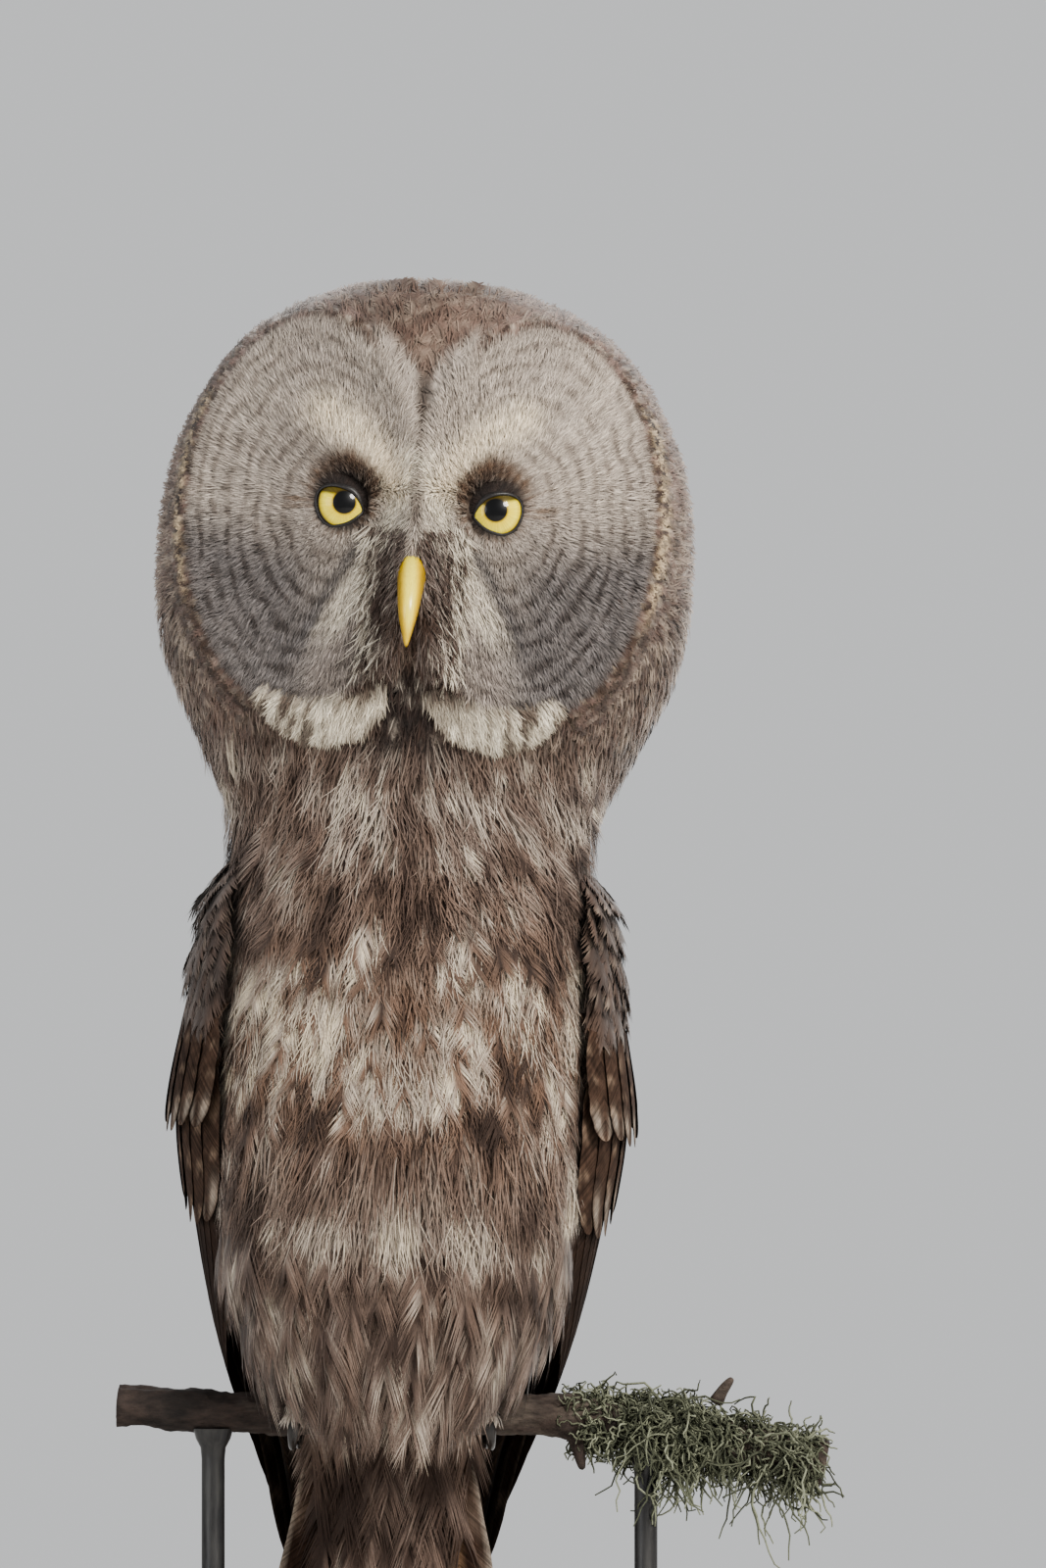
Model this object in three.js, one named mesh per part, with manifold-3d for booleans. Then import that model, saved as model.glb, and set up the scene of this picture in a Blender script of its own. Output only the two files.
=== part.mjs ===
// Great grey owl, life size, upright on a short cut branch that a display stand holds.
// Units are millimetres, +Z is up, the owl faces -Y, and +X is the owl's left side.
// The origin is the centre of the stand's underside.
import * as THREE from 'three';
import { mergeVertices } from 'three/addons/utils/BufferGeometryUtils.js';
import Module from 'manifold-3d';

const wasm = await Module();
wasm.setup();

// Driving dimensions
const GAP = 0.3;
const BASE_SIZE = { width: 240, depth: 190, height: 16, corner: 22, bevel: 2 };
const PERCH_TOP = 280;
const PERCH_RADIUS = 7.5;
const PERCH_Y = -4;
const LEAN = THREE.MathUtils.degToRad(2);
const HEAD_ROLL = THREE.MathUtils.degToRad(1);
const HEAD_YAW = THREE.MathUtils.degToRad(-3);
const HEAD_BASE = 204;
const NECK = { top: 212, bottom: 165.3, steps: 3 };
const TORSO = { top: 165, bottom: 26, steps: 11 };
const EYE = { x: 26.5, y: -47, z: 306, radius: 11.5 };
const DISC = { x: 40, z: 302, halfWidth: 40, halfHeight: 67 };
const LEG_X = 22;

// Colours, with roughness and metalness
const FINISHES = {
  plumage: { color: 0x6f5c4c, roughness: 0.9, metalness: 0 },
  face: { color: 0x9a9086, roughness: 0.9, metalness: 0 },
  flight: { color: 0x4a3a30, roughness: 0.75, metalness: 0 },
  iris: { color: 0xd9c440, roughness: 0.1, metalness: 0 },
  bill: { color: 0xd9a92a, roughness: 0.4, metalness: 0 },
  claw: { color: 0x2a2522, roughness: 0.35, metalness: 0 },
  bark: { color: 0x4b4238, roughness: 0.95, metalness: 0 },
  baseWood: { color: 0x3a241a, roughness: 0.5, metalness: 0 },
  rod: { color: 0x3c3c3e, roughness: 0.35, metalness: 0.9 },
};

// Each row is a height over the perch's top, then half width, front and back of the section there
const BODY_ROWS = [
  [214, 67, -49, 50],
  [198, 64.5, -50, 52],
  [182, 63, -53, 54],
  [165, 64, -58, 57],
  [146, 66, -62, 60],
  [126, 67.5, -65, 60],
  [95, 67.5, -67, 57],
  [61, 62, -65, 51],
  [41, 56, -61, 45],
  [30, 50, -56, 40],
  [26, 42, -48, 33],
];
const HEAD_ROWS = [
  [386, 4, -9, 0],
  [384.5, 20, -26, 17],
  [380, 37, -38, 32],
  [371, 56, -48, 44],
  [359, 69.5, -55, 52],
  [343, 80, -60, 58],
  [328, 87, -63, 61],
  [309, 91.5, -64.5, 63],
  [290, 93, -65, 63],
  [272, 92.5, -64, 62],
  [252, 89, -61, 60],
  [231, 80, -56, 57],
  [214, 71, -50, 53],
  [204, 67, -47, 51],
];
// The folded wing's core: height, half width, middle and half depth, first and last angle
const WING_ROWS = [
  [190, 58, 0, 50, 84, 150],
  [176, 68, 0, 57, 74, 156],
  [160, 72, 0, 61, 68, 160],
  [126, 75, 0, 64, 66, 160],
  [95, 75, 2, 62, 66, 160],
  [61, 68, 6, 55, 70, 160],
  [24, 59, 14, 42, 80, 160],
  [-15, 46, 25, 30, 104, 160],
  [-60, 38, 39, 22, 118, 160],
  [-110, 31, 49, 19, 122, 160],
  [-175, 22, 61, 16, 126, 160],
];
const WING_CORE_BOTTOM = 4;
// The belly under the core, where only its hanging locks go on: height, half width, front and back
const SKIRT_ROWS = [
  [70, 64, -65.5, 52],
  [46, 58, -62, 46],
  [26, 50, -56, 36],
  [6, 40, -47, 28],
  [-20, 31, -38, 22],
];

// Tiers of the wing over the primaries, from the lowest to the uppermost. `top` is the roots' height,
// `tips` the first and last tip's, `shares` their places from the leading edge (0) to the back (1),
// `rise` how far the tips stand off the core and `stack` how much more each next feather stands off.
const WING_TIERS = [
  { count: 6, top: 100, tips: [-66, -14], shares: [0.42, 0.97], halfWidth: 11, rise: 3, stack: 1.1 },
  { count: 7, top: 128, tips: [56, 72], shares: [0.05, 0.9], halfWidth: 11, rise: 6, stack: 0 },
  { count: 6, top: 150, tips: [98, 106], shares: [0.08, 0.82], halfWidth: 11.5, rise: 6, stack: 0 },
  { count: 5, top: 172, tips: [130, 134], shares: [0.14, 0.74], halfWidth: 12.5, rise: 5.5, stack: 0 },
  { count: 4, top: 178, tips: [108, 88], shares: [0.66, 1], halfWidth: 12, rise: 10, stack: 0 },
];
const PRIMARIES = { count: 5, top: 34, tips: [-168, -104], shares: [0.06, 0.4], halfWidth: 10, layer: 1.4 };
const VANE = { thickness: 1, root: -5, clear: 0.8 };
const TAIL = { perSide: 6, root: 8, tip: -254, halfWidth: 12.5, rootPitch: 2.6, tipPitch: 6.2, layer: 1.5 };
const RUFF = { locks: 11, from: 20, to: 136 };
const MOUSTACHE = { locks: 6, from: 148, to: 200 };
// Rows of long loose belly feathers, from the lower to the upper one
const SKIRT_SPAN = THREE.MathUtils.degToRad(138);
const SKIRT_TIERS = [
  { count: 9, top: 44, tip: -17, halfWidth: 11, rise: 2 },
  { count: 9, top: 70, tip: 16, halfWidth: 11, rise: 6 },
];

// Smooth value of every column of a table at a height, from rows in falling order
function rowAt(rows, height) {
  const inside = THREE.MathUtils.clamp(height, rows[rows.length - 1][0], rows[0][0]);
  let i = 0;
  while (i < rows.length - 2 && inside < rows[i + 1][0]) i += 1;
  const before = rows[Math.max(i - 1, 0)];
  const after = rows[Math.min(i + 2, rows.length - 1)];
  const [from, to] = [rows[i], rows[i + 1]];
  const span = to[0] - from[0];
  const t = (inside - from[0]) / span;
  return from.slice(1).map((value, column) => {
    const end = to[column + 1];
    const startSlope = (span * (end - before[column + 1])) / (to[0] - before[0]);
    const endSlope = (span * (after[column + 1] - value)) / (after[0] - from[0]);
    const t2 = t * t;
    const t3 = t2 * t;
    return (2 * t3 - 3 * t2 + 1) * value + (t3 - 2 * t2 + t) * startSlope
      + (3 * t2 - 2 * t3) * end + (t3 - t2) * endSlope;
  });
}

// Power that keeps the sign, which squares a round section a little
function signedPower(value, power) {
  return Math.sign(value) * Math.abs(value) ** power;
}

// Point on a rounded section, lifted off it; angle 0 is the front, 90 degrees the owl's left
function sectionPoint({ half, middle, depth, z }, angle, lift = 0) {
  const squareness = 0.88;
  const x = half * signedPower(Math.sin(angle), squareness);
  const y = -depth * signedPower(Math.cos(angle), squareness);
  const power = 2 / squareness - 1;
  const outward = new THREE.Vector2(
    signedPower(x / half, power) / half,
    signedPower(y / depth, power) / depth,
  ).normalize();
  return new THREE.Vector3(x + lift * outward.x, middle + y + lift * outward.y, z);
}

function bodySection(z) {
  const [half, front, back] = rowAt(BODY_ROWS, z);
  return { half, middle: (front + back) / 2, depth: (back - front) / 2, z };
}

function headSection(z) {
  const [half, front, back] = rowAt(HEAD_ROWS, z);
  return { half, middle: (front + back) / 2, depth: (back - front) / 2, z };
}

// Signed volume of a closed set of triangles, to tell which way its faces point
function signedVolume(points, triangles) {
  const cross = new THREE.Vector3();
  return triangles.reduce((sum, [a, b, c]) => (
    sum + cross.crossVectors(points[b], points[c]).dot(points[a])
  ), 0);
}

// Closed geometry of points and triangles, with its faces turned outwards
function closedGeometry(points, triangles) {
  const outward = signedVolume(points, triangles) > 0;
  const index = triangles.flatMap(([a, b, c]) => (outward ? [a, b, c] : [a, c, b]));
  const geometry = new THREE.BufferGeometry().setFromPoints(points);
  geometry.setIndex(index);
  return geometry;
}

// Closed skin over rows of points, each row a ring; a row of one point is a pole
function skinOver(rows) {
  const points = [];
  const starts = rows.map((row) => points.push(...row) - row.length);
  const triangles = [];
  for (let r = 0; r < rows.length - 1; r += 1) {
    const [low, high] = [rows[r].length, rows[r + 1].length];
    const around = Math.max(low, high);
    for (let i = 0; i < around; i += 1) {
      const next = (i + 1) % around;
      const [a, b] = [starts[r] + (i % low), starts[r] + (next % low)];
      const [c, d] = [starts[r + 1] + (i % high), starts[r + 1] + (next % high)];
      if (a !== b) triangles.push([a, b, d]);
      if (c !== d) triangles.push([a, d, c]);
    }
  }
  [0, rows.length - 1].forEach((r) => {
    const row = rows[r];
    if (row.length === 1) return;
    const centre = row.reduce((sum, p) => sum.add(p), new THREE.Vector3()).divideScalar(row.length);
    const hub = points.push(centre) - 1;
    row.forEach((_, i) => {
      const [a, b] = [starts[r] + i, starts[r] + ((i + 1) % row.length)];
      triangles.push(r === 0 ? [b, a, hub] : [a, b, hub]);
    });
  });
  return closedGeometry(points, triangles);
}

// Round section of a given radius set across a path
function ringAcross(centre, side, up, halfWidth, halfHeight, count) {
  return Array.from({ length: count }, (_, i) => {
    const angle = (2 * Math.PI * i) / count;
    return centre.clone()
      .addScaledVector(side, halfWidth * Math.cos(angle))
      .addScaledVector(up, halfHeight * Math.sin(angle));
  });
}

// Tapered round body along a curve that bends in the plane across `side`
function taperAlong(curve, side, radii, count) {
  const last = radii.length - 1;
  const rows = radii.map(([halfWidth, halfHeight], i) => {
    const tangent = curve.getTangent(i / last);
    const up = new THREE.Vector3().crossVectors(side, tangent).normalize();
    return ringAcross(curve.getPoint(i / last), side, up, halfWidth, halfHeight, count);
  });
  return skinOver(rows);
}

// Thin vane or lock through stations, split into triangles alike on both faces
function stripGeometry(stations) {
  const columns = stations[0].length;
  const points = stations.flatMap((station) => [1, -1].flatMap((face) => (
    station.map(({ centre, normal, thickness }) => (
      centre.clone().addScaledVector(normal, (face * thickness) / 2)
    ))
  )));
  const triangles = [];
  const perStation = 2 * columns;
  for (let i = 0; i < stations.length - 1; i += 1) {
    const [a, b] = [perStation * i, perStation * (i + 1)];
    for (let c = 0; c < columns - 1; c += 1) {
      const [low, high] = [a + columns + c, b + columns + c];
      triangles.push([a + c, a + c + 1, b + c + 1], [a + c, b + c + 1, b + c]);
      triangles.push([low, high + 1, low + 1], [low, high, high + 1]);
    }
    triangles.push([a, b, b + columns], [a, b + columns, a + columns]);
    const [right, far] = [a + columns - 1, b + columns - 1];
    triangles.push([right, right + columns, far + columns], [right, far + columns, far]);
  }
  const end = perStation * (stations.length - 1);
  for (let c = 0; c < columns - 1; c += 1) {
    triangles.push([c, columns + c, columns + c + 1], [c, columns + c + 1, c + 1]);
    triangles.push([end + c, end + c + 1, end + columns + c + 1]);
    triangles.push([end + c, end + columns + c + 1, end + columns + c]);
  }
  return closedGeometry(points, triangles);
}

// Stations of a vane on a surface, where `pointAt(t, sideways)` gives its centre line and what lies
// beside it. `tilt` raises one edge over the next vane, and three columns follow the curve across.
function stationsOn(pointAt, steps, widthAt, { thickness, tilt = 0, columns = 2 }) {
  const nudge = 0.02;
  return steps.map((t) => {
    const centre = pointAt(t, 0);
    const along = pointAt(Math.min(t + nudge, 1), 0).sub(pointAt(Math.max(t - nudge, 0), 0)).normalize();
    const straight = pointAt(t, 1).sub(pointAt(t, -1));
    straight.addScaledVector(along, -straight.dot(along)).normalize();
    const normal = new THREE.Vector3().crossVectors(straight, along).normalize();
    const halfWidth = widthAt(t);
    return Array.from({ length: columns }, (_, c) => {
      const sideways = halfWidth * ((2 * c) / (columns - 1) - 1);
      const place = columns === 2
        ? centre.clone().addScaledVector(straight, sideways)
        : pointAt(t, sideways);
      place.addScaledVector(normal, -sideways * tilt);
      return { centre: place, normal, thickness: t === 1 ? thickness * 0.6 : thickness };
    });
  });
}

// Half width of a feather along its length, from a narrow root to a rounded tip
function featherWidth(halfWidth, t) {
  const root = THREE.MathUtils.lerp(0.45, 1, THREE.MathUtils.smoothstep(t, 0, 0.35));
  const tip = Math.sqrt(Math.max(0, 1 - Math.max(0, (t - 0.72) / 0.3) ** 2));
  return halfWidth * root * Math.max(tip, 0.2);
}

function asSolid(geometry) {
  const bare = geometry.clone();
  bare.deleteAttribute('normal');
  bare.deleteAttribute('uv');
  const merged = mergeVertices(bare, 1e-4);
  return new wasm.Manifold(new wasm.Mesh({
    numProp: 3,
    vertProperties: Float32Array.from(merged.attributes.position.array),
    triVerts: Uint32Array.from(merged.index.array),
  }));
}

// The largest closed surface of a solid, as a geometry
function asGeometry(solid) {
  const [largest] = solid.decompose().sort((a, b) => b.volume() - a.volume());
  const mesh = largest.getMesh();
  const geometry = new THREE.BufferGeometry();
  geometry.setAttribute('position', new THREE.BufferAttribute(mesh.vertProperties, 3));
  geometry.setIndex(new THREE.BufferAttribute(mesh.triVerts, 1));
  return geometry;
}

function joined(geometries) {
  return geometries.map(asSolid).reduce((whole, piece) => whole.add(piece));
}

function cutBy(solid, geometries) {
  return geometries.map(asSolid).reduce((rest, cutter) => rest.subtract(cutter), solid);
}

function moved(geometry, matrix) {
  return geometry.clone().applyMatrix4(matrix);
}

function namedMesh(name, geometry, finish) {
  const material = new THREE.MeshStandardMaterial({ ...FINISHES[finish], flatShading: true });
  const mesh = new THREE.Mesh(geometry, material);
  mesh.name = name;
  return mesh;
}

// Where the leaning owl and its turned head stand
function leanMatrix() {
  return new THREE.Matrix4().makeRotationY(LEAN).setPosition(0, 0, PERCH_TOP);
}

function headMatrix() {
  const turn = new THREE.Matrix4().makeRotationFromEuler(new THREE.Euler(0, HEAD_ROLL, HEAD_YAW));
  return turn.setPosition(0, 0, HEAD_BASE);
}

// Loft of a part of the body between two heights
function bodyLoft({ top, bottom, steps }, grow = 0) {
  const around = 24;
  const rows = Array.from({ length: steps + 1 }, (_, i) => {
    const section = bodySection(THREE.MathUtils.lerp(top, bottom, i / steps));
    if (i === 0) section.z += grow;
    if (i === steps) section.z -= grow;
    return Array.from({ length: around }, (__, j) => (
      sectionPoint(section, (2 * Math.PI * j) / around, 1.2 * grow)
    ));
  });
  return skinOver(rows);
}

// Height of the face's relief at a place: dishes, their raised rims, the brows and the lores
function faceRelief(x, z) {
  const out = Math.abs(x);
  const round = Math.hypot((out - DISC.x) / DISC.halfWidth, (z - DISC.z) / DISC.halfHeight);
  const dish = round < 1 ? 8 * (1 - round * round) : 0;
  const rim = 3.5 * Math.exp(-(((round - 1) / 0.16) ** 2));
  const lores = 7 * Math.exp(-((x / 13) ** 2) - ((z - 285) / 28) ** 2);
  const browLine = 319 + 0.45 * (out - 18);
  const brow = 3.5 * Math.exp(-(((z - browLine) / 7) ** 2) - ((out - 27) / 18) ** 2);
  return dish - rim - lores - brow;
}

// Point of the head's surface, in the head's own frame with its base at zero
function headPoint(z, angle, grow = 0) {
  const point = sectionPoint(headSection(z), angle, grow);
  const facing = THREE.MathUtils.smoothstep(Math.cos(angle), 0, 0.35);
  point.y += facing * faceRelief(point.x, z);
  point.z -= HEAD_BASE;
  return point;
}

function headCore(grow = 0) {
  const around = 36;
  const steps = 16;
  const crown = 386;
  const rows = [[new THREE.Vector3(0, -4, crown + grow - HEAD_BASE)]];
  for (let i = 1; i <= steps; i += 1) {
    const fall = (i / steps) ** 1.25;
    const z = THREE.MathUtils.lerp(crown, HEAD_BASE - grow, fall);
    rows.push(Array.from({ length: around }, (_, j) => {
      const turn = (2 * Math.PI * j) / around - Math.PI;
      return headPoint(z, turn - 0.35 * Math.sin(turn), grow);
    }));
  }
  return skinOver(rows);
}

function eyeBall(side, grow = 0) {
  const ball = new THREE.SphereGeometry(EYE.radius + grow, 14, 9);
  ball.rotateX(Math.PI / 2);
  return ball.translate(side * EYE.x, EYE.y, EYE.z - HEAD_BASE);
}

function eyeLids(side) {
  const lids = new THREE.TorusGeometry(9.6, 2.4, 5, 14);
  lids.rotateX(Math.PI / 2);
  lids.scale(1, 1, 0.94);
  return lids.translate(side * EYE.x, EYE.y - 7, EYE.z - HEAD_BASE);
}

function billPoint(y, z) {
  return new THREE.Vector3(0, y, z - HEAD_BASE);
}

function upperBill(grow = 0) {
  const ridge = new THREE.CatmullRomCurve3([
    billPoint(-54 + grow, 287), billPoint(-68, 285), billPoint(-79, 279),
    billPoint(-86, 269), billPoint(-86.5 - grow, 257 - grow),
  ]);
  const radii = [[6.4, 7], [6.2, 7], [5.8, 6.4], [5, 5.2], [3.8, 3.8], [2.4, 2.4], [0.6, 0.6]];
  const grown = radii.map((pair) => pair.map((radius) => radius + grow));
  return taperAlong(ridge, new THREE.Vector3(1, 0, 0), grown, 8);
}

function lowerBill(grow = 0) {
  const keel = new THREE.CatmullRomCurve3([
    billPoint(-54 + grow, 273), billPoint(-68, 272), billPoint(-77, 267.5),
    billPoint(-81 - grow, 263 - grow),
  ]);
  const radii = [[5, 5], [4.8, 4.6], [4, 3.4], [2.6, 2.2], [0.6, 0.6]];
  const grown = radii.map((pair) => pair.map((radius) => radius + grow));
  return taperAlong(keel, new THREE.Vector3(1, 0, 0), grown, 8);
}

function nostril(side) {
  const pit = new THREE.SphereGeometry(1.5, 6, 5);
  pit.scale(1, 1.5, 1);
  return pit.translate(side * 5.6, -70, 286 - HEAD_BASE);
}

// Flat lock of the facial ruff, from the disc's outline outwards over the head's surface
function ruffLock(side, turn, heading, length, halfWidth) {
  const outline = new THREE.Vector2(
    DISC.x + 0.97 * DISC.halfWidth * Math.sin(turn),
    DISC.z + 0.95 * DISC.halfHeight * Math.cos(turn),
  );
  const { half } = headSection(outline.y);
  const start = Math.asin(Math.min(0.97, (Math.abs(outline.x) / half) ** 1.14)) * Math.sign(outline.x);
  const roundness = 68;
  const lifts = new THREE.SplineCurve([[0, -3.2], [0.35, 1.2], [0.75, 2.4], [1, 1.6]]
    .map(([t, lift]) => new THREE.Vector2(t, lift)));
  const pointAt = (t, sideways) => {
    const reach = length * (t - 0.3);
    const dx = reach * Math.sin(heading) + sideways * Math.cos(heading);
    const dz = reach * Math.cos(heading) - sideways * Math.sin(heading);
    const lift = lifts.getPoint(t).y;
    return headPoint(outline.y + dz, side * (start + dx / roundness), lift);
  };
  const steps = [0, 0.35, 0.75, 1];
  const widthAt = (t) => halfWidth * (t < 0.7 ? 0.75 + 0.35 * t : 1 - 2.6 * (t - 0.7));
  return stripGeometry(stationsOn(pointAt, steps, widthAt, { thickness: 1.1, tilt: side * 0.2 }));
}

function ruffLocks(side) {
  const locks = [];
  for (let i = 0; i < RUFF.locks; i += 1) {
    const turn = THREE.MathUtils.degToRad(THREE.MathUtils.lerp(RUFF.from, RUFF.to, i / (RUFF.locks - 1)));
    const heading = Math.atan2(Math.sin(turn) / DISC.halfWidth, Math.cos(turn) / DISC.halfHeight);
    locks.push(ruffLock(side, turn, heading + 0.25, i % 2 ? 18 : 20, 6.2));
  }
  for (let i = 0; i < MOUSTACHE.locks; i += 1) {
    const share = i / (MOUSTACHE.locks - 1);
    const turn = THREE.MathUtils.degToRad(THREE.MathUtils.lerp(MOUSTACHE.from, MOUSTACHE.to, share));
    const heading = THREE.MathUtils.degToRad(THREE.MathUtils.lerp(140, 166, share));
    locks.push(ruffLock(side, turn, heading, 21 + 2 * (i % 2), 5.6));
  }
  return locks;
}

function headGeometry() {
  const sides = [-1, 1];
  const locks = sides.flatMap((side) => ruffLocks(side));
  const whole = joined([headCore(), ...sides.map((side) => eyeLids(side)), ...locks]);
  const sockets = sides.map((side) => eyeBall(side, GAP));
  return asGeometry(cutBy(whole, [...sockets, upperBill(GAP), lowerBill(GAP)]));
}

// Point of the folded wing, at a share of the way from its leading edge to the owl's back
function wingPoint(side, z, share, lift) {
  const [half, middle, depth, first, last] = rowAt(WING_ROWS, z);
  const angle = THREE.MathUtils.degToRad(THREE.MathUtils.lerp(first, last, share));
  const point = sectionPoint({ half, middle, depth, z }, angle, lift);
  return point.setX(point.x * side);
}

// Core of the folded wing, which its feathers are rooted in
function wingCore(side) {
  const across = 8;
  const heights = [...WING_ROWS.map(([z]) => z).filter((z) => z > WING_CORE_BOTTOM), WING_CORE_BOTTOM];
  const rows = heights.map((z) => {
    const outer = [];
    const inner = [];
    for (let j = 0; j <= across; j += 1) {
      const share = j / across;
      const bulge = Math.sin(Math.PI * share) ** 0.5;
      outer.push(wingPoint(side, z, share, 4 * (bulge - 1)));
      inner.unshift(wingPoint(side, z, share, z > 26 ? -18 : -7));
    }
    return [...outer, ...inner];
  });
  return skinOver(rows);
}

// Tilt that lifts each vane clear of the one beside it, on a surface of a given radius
function shingleTilt(pitch, halfWidth, radius, columns) {
  const sag = columns > 2 ? 0 : (2 * halfWidth - pitch) / (2 * radius);
  return (VANE.thickness + 1.5 * GAP) / pitch + Math.max(0, sag);
}

function wingVane(side, tier, index) {
  const share = index / (tier.count - 1);
  const place = THREE.MathUtils.lerp(tier.shares[0], tier.shares[1], share);
  const tip = THREE.MathUtils.lerp(tier.tips[0], tier.tips[1], share) + 3 * Math.sin(5 * index + tier.top);
  const acrossWing = 118;
  const pointAt = (t, sideways) => {
    const z = THREE.MathUtils.lerp(tier.top, tip, t);
    const lift = VANE.clear + t * (tier.rise + tier.stack * index);
    const root = VANE.root * (1 - THREE.MathUtils.smoothstep(t, 0, 0.14));
    const [half, , depth, first, last] = rowAt(WING_ROWS, z);
    const millimetres = THREE.MathUtils.degToRad(last - first) * 0.5 * (half + depth);
    return wingPoint(side, z, place + sideways / millimetres, lift + root);
  };
  const long = tier.top - tip > 90;
  const columns = long ? 3 : 2;
  const steps = long ? [0, 0.14, 0.5, 0.84, 1] : [0, 0.2, 0.75, 1];
  const widthAt = (t) => featherWidth(tier.halfWidth, t);
  const pitch = (acrossWing * (tier.shares[1] - tier.shares[0])) / (tier.count - 1);
  const tilt = -side * shingleTilt(pitch, tier.halfWidth, 70, columns);
  return stripGeometry(stationsOn(pointAt, steps, widthAt, { thickness: VANE.thickness, tilt, columns }));
}

// Long flight feather that leaves the core's lower end, one of a stack like cards
function primary(side, index) {
  const share = index / (PRIMARIES.count - 1);
  const place = THREE.MathUtils.lerp(PRIMARIES.shares[0], PRIMARIES.shares[1], share);
  const tip = THREE.MathUtils.lerp(PRIMARIES.tips[0], PRIMARIES.tips[1], share);
  const pointAt = (t, sideways) => {
    const z = THREE.MathUtils.lerp(PRIMARIES.top, tip, t);
    const [half, , depth, first, last] = rowAt(WING_ROWS, z);
    const millimetres = THREE.MathUtils.degToRad(last - first) * 0.5 * (half + depth);
    return wingPoint(side, z, place + sideways / millimetres, PRIMARIES.layer * (index - 3.6));
  };
  const widthAt = (t) => featherWidth(PRIMARIES.halfWidth, t + 0.15 * (1 - t));
  const steps = [0, 0.25, 0.6, 0.88, 1];
  return stripGeometry(stationsOn(pointAt, steps, widthAt, { thickness: VANE.thickness, columns: 3 }));
}

function wingGeometry(side) {
  const vanes = WING_TIERS.flatMap((tier) => (
    Array.from({ length: tier.count }, (_, i) => wingVane(side, tier, i))
  ));
  for (let i = 0; i < PRIMARIES.count; i += 1) vanes.push(primary(side, i));
  const body = [bodyLoft(TORSO, GAP), bodyLoft(NECK, GAP)];
  const head = moved(headCore(GAP), headMatrix());
  return asGeometry(cutBy(joined([wingCore(side), ...vanes]), [...body, head]));
}

// Middle of the tail, front to back, at a height
function tailLine(z) {
  return 30 - 0.15 * z;
}

// Straight feather of the tail at a fixed distance behind the tail's middle
function tailVane({ top, tip, rootX, tipX, halfWidth, back, thickness = 1 }) {
  const pointAt = (t, sideways) => {
    const z = THREE.MathUtils.lerp(top, tip, t);
    const x = THREE.MathUtils.lerp(rootX, tipX, t ** 0.45);
    return new THREE.Vector3(x + sideways, tailLine(z) + back, z);
  };
  const widthAt = (t) => featherWidth(halfWidth, t);
  return stripGeometry(stationsOn(pointAt, [0, 0.2, 0.6, 0.9, 1], widthAt, { thickness }));
}

function rectrices() {
  const vanes = [];
  for (let k = 0; k < TAIL.perSide; k += 1) {
    [-1, 1].forEach((side) => {
      const layers = k + (side > 0 ? 1 : 0);
      vanes.push(tailVane({
        top: TAIL.root,
        tip: TAIL.tip + 2.5 * k,
        rootX: side * (k + 0.5) * TAIL.rootPitch,
        tipX: side * (k + 0.5) * TAIL.tipPitch,
        halfWidth: TAIL.halfWidth,
        back: 3 - layers * TAIL.layer,
      }));
    });
  }
  return vanes;
}

function tailCoverts() {
  return [-1, 0, 1].flatMap((place) => [
    { top: 18, tip: -80 + 6 * Math.abs(place), back: 6.3 - 1.6 * Math.abs(place) },
    { top: 14, tip: -66 + 4 * Math.abs(place), back: -9.6 + 1.6 * Math.abs(place) },
  ].map((covert) => tailVane({
    ...covert,
    rootX: place * 9,
    tipX: place * 14,
    halfWidth: 9.5,
    thickness: 1.2,
  })));
}

function tailGeometry() {
  const rows = [[44, 24, 12], [20, 24, 11], [0, 22, 8], [-18, 17, 5], [-32, 9, 2.5]];
  const core = skinOver(rows.map(([z, half, depth]) => ringAcross(
    new THREE.Vector3(0, tailLine(z) - 2.5, z),
    new THREE.Vector3(1, 0, 0),
    new THREE.Vector3(0, 1, 0),
    half,
    depth,
    16,
  )));
  return asGeometry(cutBy(joined([core, ...rectrices(), ...tailCoverts()]), [bodyLoft(TORSO, GAP)]));
}

// Long loose belly feather that hangs past the core, in front of the branch
function skirtLock(tier, index) {
  const share = index / (tier.count - 1) - 0.5;
  const angle = share * SKIRT_SPAN;
  const middleLock = Math.abs(share) < 0.01;
  const atSide = THREE.MathUtils.smoothstep(Math.abs(angle), 0.6, 1.2);
  const tip = THREE.MathUtils.lerp(tier.tip, Math.max(tier.tip, 6), atSide) + 2.5 * Math.sin(7 * index);
  const pointAt = (t, sideways) => {
    const z = THREE.MathUtils.lerp(tier.top, tip, t);
    const [half, front, back] = rowAt(SKIRT_ROWS, z);
    const section = { half, middle: (front + back) / 2, depth: (back - front) / 2, z };
    const root = VANE.root * (1 - THREE.MathUtils.smoothstep(t, 0, 0.16));
    const lift = root + 0.8 + tier.rise * t + (middleLock ? 1.4 : 0);
    return sectionPoint(section, angle + sideways / half, lift);
  };
  const widthAt = (t) => tier.halfWidth * (t < 0.5 ? 0.8 + 0.4 * t : 1 - 1.75 * (t - 0.5));
  const pitch = (SKIRT_SPAN * 60) / (tier.count - 1);
  const tilt = middleLock ? 0 : -Math.sign(share) * shingleTilt(pitch, tier.halfWidth, 60, 2);
  return stripGeometry(stationsOn(pointAt, [0, 0.18, 0.5, 0.8, 1], widthAt, { thickness: 1.2, tilt }));
}

function torsoGeometry() {
  const locks = SKIRT_TIERS.flatMap((tier) => (
    Array.from({ length: tier.count }, (_, i) => skirtLock(tier, i))
  ));
  return asGeometry(joined([bodyLoft(TORSO), ...locks]));
}

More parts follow.
